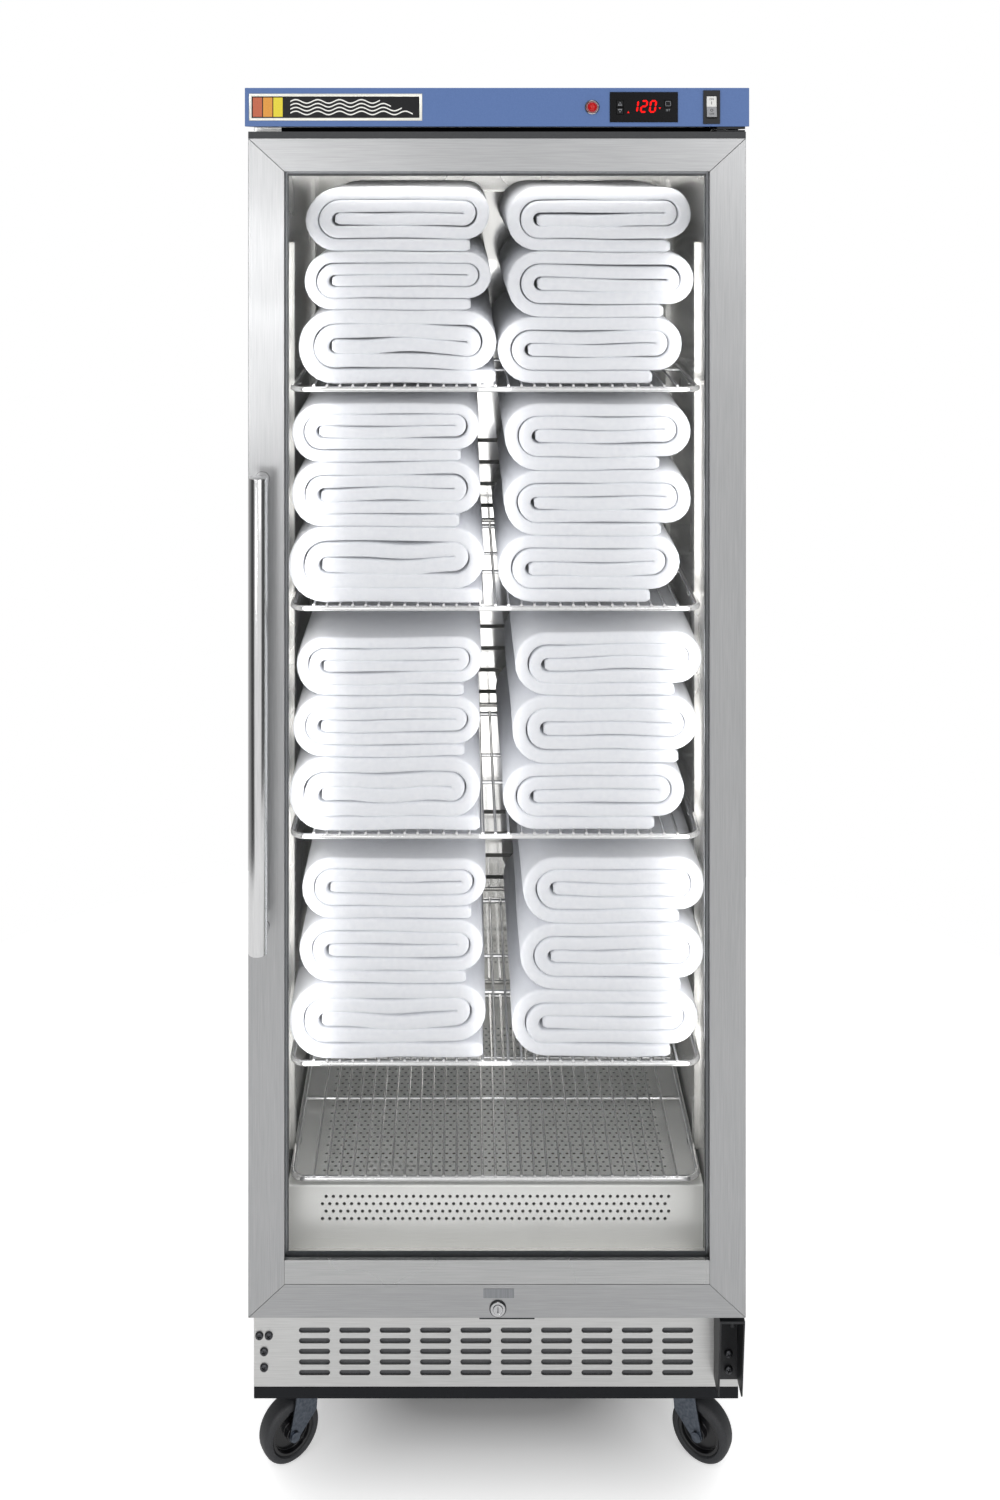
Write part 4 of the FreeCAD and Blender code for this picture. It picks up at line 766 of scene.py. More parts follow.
def facing(axis: Vector, centre: Vector) -> Matrix:
    """A placement that turns the Z axis to a direction and moves the origin to a point."""
    return Matrix.Translation(centre) @ axis.to_track_quat("Z", "Y").to_matrix().to_4x4()


FRONT = Vector((0, -1, 0))


def mitred_ring(low: Point, high: Point, profile: Sequence[Point]) -> bpy.types.Mesh:
    """A closed moulding round an upright rectangle, mitred at its corners.

    Args:
        low: The rectangle's lower left corner, across and up.
        high: Its upper right corner.
        profile: Points of inset from the rectangle and place in depth.

    Returns:
        The closed mesh.
    """
    vertices = []
    for inset, depth in profile:
        left, right = low[0] + inset, high[0] - inset
        foot, head = low[1] + inset, high[1] - inset
        vertices += [(left, depth, foot), (right, depth, foot), (right, depth, head), (left, depth, head)]
    count = len(profile)
    faces = [face for i in range(count) for face in walls(i * 4, (i + 1) % count * 4, 4)]
    return mesh_of("moulding", vertices, faces)


def lettering(text: str, height: float, centre: Vector, depth: float = 0.0001) -> bpy.types.Mesh:
    """Raised letters on an upright face, facing the front.

    Args:
        text: The letters.
        height: Height of a capital, in metres.
        centre: Middle of the text, on the face.
        depth: How far the letters stand proud.

    Returns:
        The mesh in its place.
    """
    curve = bpy.data.curves.new("letters", "FONT")
    curve.body = text
    curve.size = height / CAPITAL_SHARE
    curve.align_x = "CENTER"
    curve.align_y = "CENTER"
    curve.extrude = depth / 2
    curve.resolution_u = 3
    mesh = evaluated(shown("letters", curve))
    mesh.transform(Matrix.Translation(centre + FRONT * depth / 2) @ Matrix.Rotation(QUARTER, 4, "X"))
    return cleaned(mesh)


def deliver(name: str, mesh: bpy.types.Mesh, body: str, slot: str, *nodes: str,
            finish: Any = None) -> bpy.types.Object:
    """Hand a finished mesh over as one piece of the cabinet.

    Args:
        name: Name of the piece.
        mesh: Its mesh, in place.
        body: The body that it moves with.
        slot: The material slot of the record; not used.
        nodes: The CAD nodes that it stands for.
        finish: Its finish, if the mesh has none yet.

    Returns:
        The object.
    """
    if finish is not None:
        finished(mesh, finish)
    mesh.name = name
    piece = shown(name, mesh)
    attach(piece, body)
    if nodes:
        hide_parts(*nodes)
    LOG.info("%s: %d faces", name, len(mesh.polygons))
    return piece


def dress(node: str, finish: Any) -> None:
    """Give a CAD node a finish and leave its shape as it is."""
    finished(frame["nodes"][node].data, finish)
    LOG.info("%s: dressed", node)


def refine(node: str, body: str, slot: str, finish: Any, ease: float = 0.0004, segments: int = 2) -> None:
    """Stand a copy with eased edges in a CAD node's place."""
    deliver(f"{node}_eased", eased(node_mesh(node), ease, segments), body, slot, node, finish=finish)


# ---------------------------------------------------------------------------------------------------
# Geometry Nodes
# ---------------------------------------------------------------------------------------------------

class Recipe(Tree):
    """A Geometry Nodes tree that makes one kind of piece from named sizes."""

    def __init__(self, name: str) -> None:
        """Start a tree with a geometry and a finish going in, and a geometry coming out.

        Args:
            name: Name of the tree.
        """
        super().__init__(bpy.data.node_groups.new(name, "GeometryNodeTree"))
        self.tree.interface.new_socket(name="Geometry", in_out="INPUT", socket_type="NodeSocketGeometry")
        self.tree.interface.new_socket(name="Geometry", in_out="OUTPUT", socket_type="NodeSocketGeometry")
        self.entry = self.tree.nodes.new("NodeGroupInput")
        self.exit = self.tree.nodes.new("NodeGroupOutput")
        self.names: dict[str, str] = {}
        self.finish = self.ask("Finish", "NodeSocketMaterial")

    def ask(self, name: str, kind: str = "NodeSocketFloat") -> bpy.types.NodeSocket:
        """Add a named input to the tree.

        Args:
            name: The input's name.
            kind: The socket's type.

        Returns:
            The socket that carries it.
        """
        item = self.tree.interface.new_socket(name=name, in_out="INPUT", socket_type=kind)
        self.names[name] = item.identifier
        return self.entry.outputs[name]

    def vector(self, x: Any = 0.0, y: Any = 0.0, z: Any = 0.0) -> bpy.types.NodeSocket:
        """A vector of three numbers or sockets."""
        return self.add("ShaderNodeCombineXYZ", {0: x, 1: y, 2: z}).outputs[0]

    def together(self, *geometries: bpy.types.NodeSocket) -> bpy.types.NodeSocket:
        """Several geometries as one.

        Args:
            geometries: The geometries.

        Returns:
            The socket that carries them.
        """
        node = self.add("GeometryNodeJoinGeometry")
        for geometry in geometries:
            self.fill(node, {0: geometry})
        return node.outputs[0]

    def copies(self, points: bpy.types.NodeSocket, shape: bpy.types.NodeSocket,
               **more: bpy.types.NodeSocket) -> bpy.types.NodeSocket:
        """A copy of a shape at each of a geometry's points."""
        sockets = {"Points": points, "Instance": shape, **more}
        return self.add("GeometryNodeInstanceOnPoints", sockets).outputs[0]

    def shape_of(self, holder: bpy.types.NodeSocket) -> bpy.types.NodeSocket:
        """The geometry of an object."""
        return self.add("GeometryNodeObjectInfo", {"Object": holder}).outputs["Geometry"]

    def tube(self, path: bpy.types.NodeSocket, radius: bpy.types.NodeSocket, sides: int,
             **more: Any) -> bpy.types.NodeSocket:
        """A round bar along a path.

        Args:
            path: The curve that the bar follows.
            radius: Its radius.
            sides: Its number of sides.
            more: More sockets of the last node.

        Returns:
            The socket that carries the bar.
        """
        ring = self.add("GeometryNodeCurvePrimitiveCircle", {"Resolution": sides, "Radius": radius})
        sockets = {"Curve": path, "Profile Curve": ring.outputs["Curve"], **more}
        return self.add("GeometryNodeCurveToMesh", sockets).outputs[0]

    def end(self, *geometries: bpy.types.NodeSocket) -> "Recipe":
        """Join what was made, make its copies real and give it the finish.

        Args:
            geometries: What was made.

        Returns:
            The recipe.
        """
        real = self.add("GeometryNodeRealizeInstances", {0: self.together(*geometries)})
        dressed = self.add("GeometryNodeSetMaterial", {"Geometry": real.outputs[0], "Material": self.finish})
        self.fill(self.exit, {0: dressed.outputs[0]})
        return self

    def make(self, finish: Any, start: bpy.types.Mesh | None = None, **sizes: Any) -> bpy.types.Mesh:
        """Run the tree.

        Args:
            finish: The finish of the result.
            start: The mesh that goes in, where the tree reads one.
            sizes: The named inputs; an underscore stands for a space.

        Returns:
            A plain mesh.
        """
        holder = shown("recipe", start or bpy.data.meshes.new("start"))
        modifier = holder.modifiers.new("recipe", "NODES")
        modifier.node_group = self.tree
        modifier[self.names["Finish"]] = finish.material()
        for name, value in sizes.items():
            modifier[self.names[name.replace("_", " ")]] = value
        holder.update_tag()
        return evaluated(holder)


def copies_recipe() -> Recipe:
    """Copies of one shape at each vertex of the mesh that goes in, turned by its turn attribute.

    Returns:
        The recipe.
    """
    recipe = Recipe("copies")
    shape = recipe.shape_of(recipe.ask("Shape", "NodeSocketObject"))
    turn = recipe.add("GeometryNodeInputNamedAttribute", {"Name": "turn"}, data_type="FLOAT_VECTOR")
    rotation = recipe.add("FunctionNodeEulerToRotation", {0: turn.outputs[0]})
    points = recipe.add("GeometryNodeMeshToPoints", {"Mesh": recipe.entry.outputs["Geometry"]})
    return recipe.end(recipe.copies(points.outputs[0], shape, Rotation=rotation.outputs[0]))


@dataclass
class Copier:
    """Puts copies of a small shape at a list of places."""

    recipe: Recipe = field(default_factory=copies_recipe)

    def place(self, shape: bpy.types.Mesh, spots: Sequence[Triple], turns: Sequence[Triple],
              finish: Any) -> bpy.types.Mesh:
        """Make the copies.

        Args:
            shape: The shape about its own origin.
            spots: Where each copy's origin goes.
            turns: Each copy's Euler turn in radians.
            finish: The finish of all of them.

        Returns:
            One mesh of all the copies.
        """
        source = shown("shape", shape)
        points = bpy.data.meshes.new("spots")
        points.from_pydata([tuple(s) for s in spots], [], [])
        attribute = points.attributes.new("turn", "FLOAT_VECTOR", "POINT")
        for item, turn in zip(attribute.data, turns):
            item.vector = turn
        mesh = self.recipe.make(finish, points, Shape=source)
        bpy.data.objects.remove(source)
        return shaded(mesh)


def shelf_recipe() -> Recipe:
    """A wire shelf about its rods' level: a rounded rim, two cross rods and a row of wires on top.

    Returns:
        The recipe.
    """
    recipe = Recipe("wire_shelf")
    half = recipe.ask("Half Width")
    front, back = recipe.ask("Front"), recipe.ask("Back")
    corner, rod = recipe.ask("Corner"), recipe.ask("Rod Radius")
    wire, cross = recipe.ask("Wire Radius"), recipe.ask("Cross Radius")
    wires, pitch = recipe.ask("Wires", "NodeSocketInt"), recipe.ask("Pitch")
    wire_level, cross_level = recipe.ask("Wire Level"), recipe.ask("Cross Level")
    cross_front, cross_pitch = recipe.ask("Cross Front"), recipe.ask("Cross Pitch")

    depth = recipe.sum("SUBTRACT", back, front)
    middle = recipe.sum("MULTIPLY", recipe.sum("ADD", back, front), 0.5)
    around = recipe.add("GeometryNodeCurvePrimitiveQuadrilateral", {
        "Width": recipe.sum("MULTIPLY", half, 2.0), "Height": depth})
    bent = recipe.add("GeometryNodeFilletCurve", {
        "Curve": around.outputs[0], "Count": BEND_STEPS, "Radius": corner}, mode="POLY")
    rim = recipe.add("GeometryNodeTransform", {
        "Geometry": recipe.tube(bent.outputs[0], rod, ROD_SIDES), "Translation": recipe.vector(y=middle)})

    def row(radius: Any, start: Any, end: Any, count: Any, first: Any, step: Any, sides: int) -> Any:
        """A row of straight round bars.

        Args:
            radius: Radius of a bar.
            start: Where the first bar starts.
            end: Where it ends.
            count: Number of bars.
            first: Shift of the first bar.
            step: Shift from one bar to the next.
            sides: Sides of a bar.

        Returns:
            The socket that carries the row.
        """
        line = recipe.add("GeometryNodeCurvePrimitiveLine", {"Start": start, "End": end})
        bar = recipe.tube(line.outputs[0], radius, sides, **{"Fill Caps": True})
        spots = recipe.add("GeometryNodeMeshLine", {"Count": count, "Start Location": first, "Offset": step})
        return recipe.copies(spots.outputs[0], bar)

    reach = recipe.sum("SUBTRACT", front, rod)
    span = recipe.sum("MULTIPLY", recipe.sum("SUBTRACT", wires, 1.0), pitch)
    left = recipe.sum("MULTIPLY", span, -0.5)
    wire_row = row(wire, recipe.vector(y=reach), recipe.vector(y=back), wires,
                   recipe.vector(left, 0.0, wire_level), recipe.vector(pitch), WIRE_SIDES)
    cross_row = row(cross, recipe.vector(recipe.sum("MULTIPLY", half, -1.0)), recipe.vector(half), 2,
                    recipe.vector(0.0, cross_front, cross_level), recipe.vector(y=cross_pitch), CROSS_SIDES)
    return recipe.end(rim.outputs[0], wire_row, cross_row)


def punched_recipe() -> Recipe:
    """A level sheet of staggered holes about its own centre, tiled from one punched cell and one half
    cell without a hole, which fills the end of each row.

    Returns:
        The recipe.
    """
    recipe = Recipe("punched_sheet")
    columns, rows = recipe.ask("Columns", "NodeSocketInt"), recipe.ask("Rows", "NodeSocketInt")
    pitch, row_pitch = recipe.ask("Pitch"), recipe.ask("Row Pitch")
    cell, blank = recipe.ask("Cell", "NodeSocketObject"), recipe.ask("Blank", "NodeSocketObject")
    rotation, place = recipe.ask("Rotation", "NodeSocketRotation"), recipe.ask("Place", "NodeSocketVector")

    def size(count: Any, step: Any) -> Any:
        """Length of a row of evenly spaced points."""
        return recipe.sum("MULTIPLY", recipe.sum("SUBTRACT", count, 1.0), step)

    def moved(geometry: Any, across: Any) -> Any:
        """A geometry shifted across."""
        sockets = {"Geometry": geometry, "Offset": recipe.vector(across)}
        return recipe.add("GeometryNodeSetPosition", sockets).outputs[0]

    deep = size(rows, row_pitch)
    parts = recipe.add("ShaderNodeSeparateXYZ", {0: recipe.add("GeometryNodeInputPosition").outputs[0]})
    along = recipe.sum("MULTIPLY_ADD", deep, 0.5, parts.outputs["Y"])
    number = recipe.sum("ROUND", recipe.sum("DIVIDE", along, row_pitch))
    odd = recipe.sum("MULTIPLY_ADD", recipe.sum("MODULO", number, 2.0), 2.0, -1.0)
    grid = recipe.add("GeometryNodeMeshGrid", {
        "Size X": size(columns, pitch), "Size Y": deep, "Vertices X": columns, "Vertices Y": rows})
    shift = recipe.sum("MULTIPLY", recipe.sum("MULTIPLY", odd, pitch), 0.25)
    holes = recipe.copies(moved(grid.outputs[0], shift), recipe.shape_of(cell))
    line = recipe.add("GeometryNodeMeshLine", {
        "Count": rows, "Start Location": recipe.vector(y=recipe.sum("MULTIPLY", deep, -0.5)),
        "Offset": recipe.vector(y=row_pitch)})
    half_row = recipe.sum("MULTIPLY", recipe.sum("MULTIPLY", columns, pitch), -0.5)
    ends = moved(line.outputs[0], recipe.sum("MULTIPLY", odd, half_row))
    blanks = recipe.copies(ends, recipe.shape_of(blank))
    real = recipe.add("GeometryNodeRealizeInstances", {0: recipe.together(holes, blanks)})
    merged = recipe.add("GeometryNodeMergeByDistance", {"Geometry": real.outputs[0], "Distance": CELL_MERGE})
    return recipe.end(recipe.add("GeometryNodeTransform", {
        "Geometry": merged.outputs[0], "Translation": place, "Rotation": rotation}).outputs[0])


# ---------------------------------------------------------------------------------------------------
# Insulated box
# ---------------------------------------------------------------------------------------------------

@dataclass
class PanHead:
    """A pan head screw with a cross recess, about its seat, pointing along +Z."""

    radius: float = 5.0 * MM
    height: float = 3.2 * MM
    recess_length: float = 5.4 * MM
    recess_width: float = 1.2 * MM
    recess_depth: float = 1.9 * MM
    sides: int = 24

    def mesh(self) -> bpy.types.Mesh:
        """The head with its recess cut in.

        Returns:
            The mesh.
        """
        r, h = self.radius, self.height
        dome = [(0, 0), (r, 0), (r, 0.3 * h), (0.93 * r, 0.6 * h), (0.72 * r, 0.86 * h), (0.4 * r, 0.98 * h),
                (0, h)]
        head = lathed(dome, self.sides)
        half, wide, foot = self.recess_length / 2, self.recess_width / 2, h - self.recess_depth
        for across, along in ((half, wide), (wide, half)):
            head = pierced(head, slab((-across, -along, foot), (across, along, 2 * h)))
        return head


@dataclass
class FlatHead:
    """A countersunk screw's face, flush with the sheet that it holds."""

    radius: float = 4.0 * MM
    dish: float = 0.35 * MM
    cone: float = 1.5 * MM
    recess: float = 0.9 * MM

    def mesh(self) -> bpy.types.Mesh:
        """A shallow dish with a cross recess; its face is at zero.

        Returns:
            The mesh.
        """
        r = self.radius
        face = [(0, -self.cone), (0.5 * r, -self.cone), (r, -self.dish), (0.94 * r, 0), (0.86 * r, 0), (0, 0)]
        head = lathed(face, 20)
        for across, along in ((0.55 * r, 0.14 * r), (0.14 * r, 0.55 * r)):
            head = pierced(head, slab((-across, -along, -self.recess), (across, along, MM)))
        return head


@dataclass
class InsulatedBox:
    """The steel box with its base, grille, rear panel, insulation and liner."""

    copier: Copier
    screw_inset: float = 12.5 * MM
    pair_pitch: float = 11.5 * MM
    low_rise: float = 23.5 * MM
    screw_pitch: float = 19.5 * MM
    screw_turns: tuple[int, ...] = (12, 51, 33, 74, 20, 62)
    bracket_sheet: float = 3.0 * MM
    # depth and clearance of the dark strip that paints in the shade above the door
    gap_shade_depth: float = 3.0 * MM
    gap_shade_clearance: float = 0.5 * MM
    rear_margin: float = 9.0 * MM
    rear_columns: int = 5
    rear_rows: int = 8
    baffle_sheet: float = 0.8 * MM
    baffle_gap: float = 4.0 * MM
    baffle_inset: Point = (46.0 * MM, 12.0 * MM)

    def build(self) -> None:
        """Make and dress every piece of the box."""
        dress("outer_shell", SHELL_STEEL)
        dress("insulation", FOAM)
        dress("liner", CHAMBER_STEEL)
        refine("base_plate", "cabinet", "black_base", BLACK_PAINT, 0.8 * MM, 3)
        refine("grille_panel", "cabinet", "silver_panel", GRILLE_STEEL, 0.25 * MM)
        refine("rear_panel", "cabinet", "galvanised", GALVANISED, 0.2 * MM)
        refine("mains_inlet", "cabinet", "inlet_black", INLET_BLACK, 0.5 * MM, 3)
        self.baffle()
        self.top_gap_shade()
        self.front_screws()
        self.rear_screws()

    def baffle(self) -> None:
        """A grey sheet a little way behind the grille's slots."""
        grille = Block.of("grille_panel")
        (across, up), face = self.baffle_inset, grille.low.y + self.baffle_gap
        sheet = slab((grille.low.x + across, face, grille.low.z + up),
                     (grille.high.x - across, face + self.baffle_sheet, grille.high.z - up))
        deliver("grille_baffle", eased(sheet, 0.2 * MM, 1), "cabinet", "black_base", finish=BAFFLE_GREY)

    def top_gap_shade(self) -> None:
        """A black strip on the box's front rim, in the gap between the door and the control panel: a dark
        sheet that paints in the shade of that gap.
        """
        gasket, plates, panel = (Block.of(n) for n in ("door_gasket", "hinge_brackets", "control_panel"))
        low = (-plates.low.x, gasket.high.y - self.gap_shade_depth, Block.of("door_cap").low.z)
        high = (plates.low.x - self.gap_shade_clearance, gasket.high.y, panel.low.z - self.gap_shade_clearance)
        # painted shade: a near-black strip put in the gap above the door, where there is only shadow
        gap_shade_sheet = eased(slab(low, high), 0.4 * MM)
        deliver("top_rim_seal", gap_shade_sheet, "cabinet", "gasket_rubber", finish=GAP_SHADE_BLACK)

    def front_screws(self) -> None:
        """Four pan heads on the left of the grille and two on the hinge bracket."""
        base = Block.of("grille_panel")
        left = base.low.x + self.screw_inset
        right = base.high.x - self.screw_inset
        levels = [base.low.z + self.low_rise + i * self.screw_pitch for i in range(3)]
        face, plate = base.low.y, base.low.y - self.bracket_sheet
        spots = [(left - self.pair_pitch / 2, face, levels[2]), (left + self.pair_pitch / 2, face, levels[2])]
        spots += [(left, face, z) for z in levels[:2]] + [(right, plate, z) for z in levels[:2]]
        turns = [(QUARTER, math.radians(turn), 0.0) for turn in self.screw_turns]
        mesh = self.copier.place(PanHead().mesh(), spots, turns, DARK_ZINC)
        deliver("cross_head_screws", mesh, "cabinet", "zinc_screws", "panel_screws")

    def rear_screws(self) -> None:
        """Countersunk screws round the rear panel."""
        panel = Block.of("rear_panel")
        xs = np.linspace(panel.low.x + self.rear_margin, panel.high.x - self.rear_margin, self.rear_columns)
        zs = np.linspace(panel.low.z + self.rear_margin, panel.high.z - self.rear_margin, self.rear_rows)
        spots = [(float(x), panel.high.y, float(z)) for x in xs for z in zs
                 if x in (xs[0], xs[-1]) or z in (zs[0], zs[-1])]
        turns = [(-QUARTER, math.radians(37 * i % 90), 0.0) for i in range(len(spots))]
        mesh = self.copier.place(FlatHead().mesh(), spots, turns, PLAIN_ZINC)
        deliver("rear_panel_screws", mesh, "cabinet", "zinc_screws")


# ---------------------------------------------------------------------------------------------------
# Control panel
# ---------------------------------------------------------------------------------------------------

def ring_prism(outer: Sequence[Point], inner: Sequence[Point], low: float, high: float,
               axis: Axis = Axis.DEPTH) -> bpy.types.Mesh:
    """A closed band between two outlines of as many corners, pushed along an axis.

    Args:
        outer: Corners of the outer outline.
        inner: Corners of the inner one.
        low: Where the band starts.
        high: Where it ends.
        axis: The direction of the push.

    Returns:
        The mesh.
    """
    count = len(outer)
    vertices = [raised(p, level, axis) for level in (low, high) for loop in (outer, inner) for p in loop]
    loops = [0, count, 3 * count, 2 * count]
    faces = [face for pair in zip(loops, loops[1:] + loops[:1]) for face in walls(*pair, count)]
    return mesh_of("band", vertices, faces)


def rectangle(low: Point, high: Point) -> list[Point]:
    """The four corners of a rectangle."""
    return [(low[0], low[1]), (high[0], low[1]), (high[0], high[1]), (low[0], high[1])]


def rounded_rectangle(low: Point, high: Point, radius: float, steps: int = 5) -> list[Point]:
    """A rectangle with rounded corners.

    Args:
        low: The lower left corner.
        high: The upper right corner.
        radius: Radius of the corners.
        steps: Steps in each of them.

    Returns:
        Points of the outline.
    """
    centres = [(high[0] - radius, high[1] - radius, 0), (low[0] + radius, high[1] - radius, 90),
               (low[0] + radius, low[1] + radius, 180), (high[0] - radius, low[1] + radius, 270)]
    return [p for x, z, turn in centres for p in arc((x, z), radius, turn, turn + 90, steps)]


SEGMENTS_OF: dict[str, str] = {
    "0": "abcdef", "1": "bc", "2": "abged", "3": "abgcd", "4": "fgbc",
    "5": "afgcd", "6": "afgedc", "7": "abc", "8": "abcdefg", "9": "abcdfg",
}


@dataclass
class Readout:
    """Slanted seven-segment figures on the display's face."""

    text: str = "120"
    centre: Point = (174.6 * MM, 1677.4 * MM)
    height: float = 13.0 * MM
    width: float = 6.2 * MM
    pitch: float = 10.6 * MM
    thick: float = 2.1 * MM
    gap: float = 0.22 * MM
    slant: float = math.radians(8)
    proud: float = 0.12 * MM

    def segment(self, start: Point, end: Point) -> list[Point]:
        """One bar with pointed ends between two corners of a figure.

        Args:
            start: One corner of the figure.
            end: The next one.

        Returns:
            Points of the outline.
        """
        a, b = Vector(start), Vector(end)
        along = (b - a).normalized()
        across = Vector((-along.y, along.x)) * self.thick / 2
        a, b = a + along * self.gap, b - along * self.gap
        tip = along * self.thick / 2
        return [tuple(p) for p in (a, a + tip + across, b - tip + across,
                                   b, b - tip - across, a + tip - across)]

    def figure(self, digit: str, middle: float, face: float) -> list[bpy.types.Mesh]:
        """The lit bars of one figure.

        Args:
            digit: The figure.
            middle: Its middle, from the centre of the text.
            face: Depth of the face that it is on.

        Returns:
            A mesh for each bar.
        """
        x, z = self.width / 2, self.height / 2
        corner = {"a": ((-x, z), (x, z)), "b": ((x, z), (x, 0)), "c": ((x, 0), (x, -z)),
                  "d": ((x, -z), (-x, -z)), "e": ((-x, -z), (-x, 0)), "f": ((-x, 0), (-x, z)),
                  "g": ((-x, 0), (x, 0))}
        bars = []
        for name in SEGMENTS_OF[digit]:
            outline = [(self.centre[0] + middle + px + pz * math.tan(self.slant), self.centre[1] + pz)
                       for px, pz in self.segment(*corner[name])]
            bars.append(prism(outline, face - self.proud, face, Axis.DEPTH))
        return bars

    def mesh(self, face: float) -> bpy.types.Mesh:
        """All the figures on a face at that depth.

        Args:
            face: Depth of the face.

        Returns:
            The mesh.
        """
        first = -(len(self.text) - 1) / 2 * self.pitch
        bars = [bar for i, digit in enumerate(self.text)
                for bar in self.figure(digit, first + i * self.pitch, face)]
        return joined(*bars)


@dataclass
class Nameplate:
    """A bevelled plate with a bare rim, three coloured bars and a field of heat waves."""

    rim: float = 3.2 * MM
    rim_flat: float = 0.6
    bar_width: float = 11.0 * MM
    bar_gap: float = 1.2 * MM
    wave_width: float = 1.5 * MM
    wave_height: float = 2.1 * MM
    wave_length: float = 26.0 * MM
    waves: int = 4
    wave_steps: int = 72
    wave_margin: float = 8.0 * MM
    margin: Point = (1.5 * MM, 1.4 * MM)
    sunk: float = 0.35 * MM
    bevel: Point = (0.5 * MM, 0.3 * MM)
    tuck: float = 0.2 * MM
    ink: float = 0.06 * MM

    def build(self) -> None:
        """Make the rim, the field, the bars and the waves."""
        plate = Block.of("nameplate")
        low, high = (plate.low.x, plate.low.z), (plate.high.x, plate.high.z)
        face, back = plate.low.y, plate.high.y
        field_face = face + self.sunk
        bevel_in, bevel_deep = self.bevel
        rim = mitred_ring(low, high, [
            (0, back), (0, face + bevel_deep), (bevel_in, face), (self.rim * self.rim_flat, face),
            (self.rim, field_face), (self.rim, back)])
        deliver("nameplate_rim", shaded(rim), "cabinet", "nameplate_film", "nameplate", finish=PLATE_RIM)
        inset = self.rim - self.tuck
        sheet = slab((low[0] + inset, field_face, low[1] + inset), (high[0] - inset, back, high[1] - inset))
        deliver("nameplate_field", sheet, "cabinet", "nameplate_film", finish=PLATE_FIELD)
        across, up = self.rim + self.margin[0], self.rim + self.margin[1]
        left, foot, head = low[0] + across, low[1] + up, high[1] - up
        ink = field_face - self.ink
        for name, finish in (("rust", RUST_INK), ("amber", AMBER_INK), ("yellow", YELLOW_INK)):
            bar = slab((left, ink, foot), (left + self.bar_width, field_face, head))
            deliver(f"nameplate_{name}_bar", bar, "cabinet", "nameplate_film", finish=finish)
            left += self.bar_width + self.bar_gap
        right = high[0] - self.rim - self.wave_margin
        waves = self.wave_lines(left + self.wave_margin, right, foot, head, ink, field_face)
        deliver("nameplate_waves", waves, "cabinet", "nameplate_film", finish=WARM_WHITE)

    def wave_lines(self, left: float, right: float, foot: float, head: float, low: float,
                   high: float) -> bpy.types.Mesh:
        """Rising heat drawn as level wavy lines, each a little longer than the one above it.

        Args:
            left: Where the lines start.
            right: Where the lowest one ends.
            foot: Bottom of their field.
            head: Its top.
            low: Depth of their faces.
            high: Depth of their backs.

        Returns:
            The mesh.
        """
        lines = []
        pitch = (head - foot) / (self.waves + 1)
        for i in range(self.waves):
            level = foot + pitch * (i + 1)
            end = right - i * self.wave_length / 2
            xs = [float(x) for x in np.linspace(left, end, self.wave_steps)]
            turns = 2 * math.pi / self.wave_length
            zs = [level + self.wave_height * math.sin(turns * (x - left)) for x in xs]
            upper, lower = ([(x, z + side * self.wave_width / 2) for x, z in zip(xs, zs)] for side in (1, -1))
            strips = [prism([lower[k], lower[k + 1], upper[k + 1], upper[k]], low, high, Axis.DEPTH)
                      for k in range(len(xs) - 1)]
            lines.append(cleaned(joined(*strips)))
        return joined(*lines)


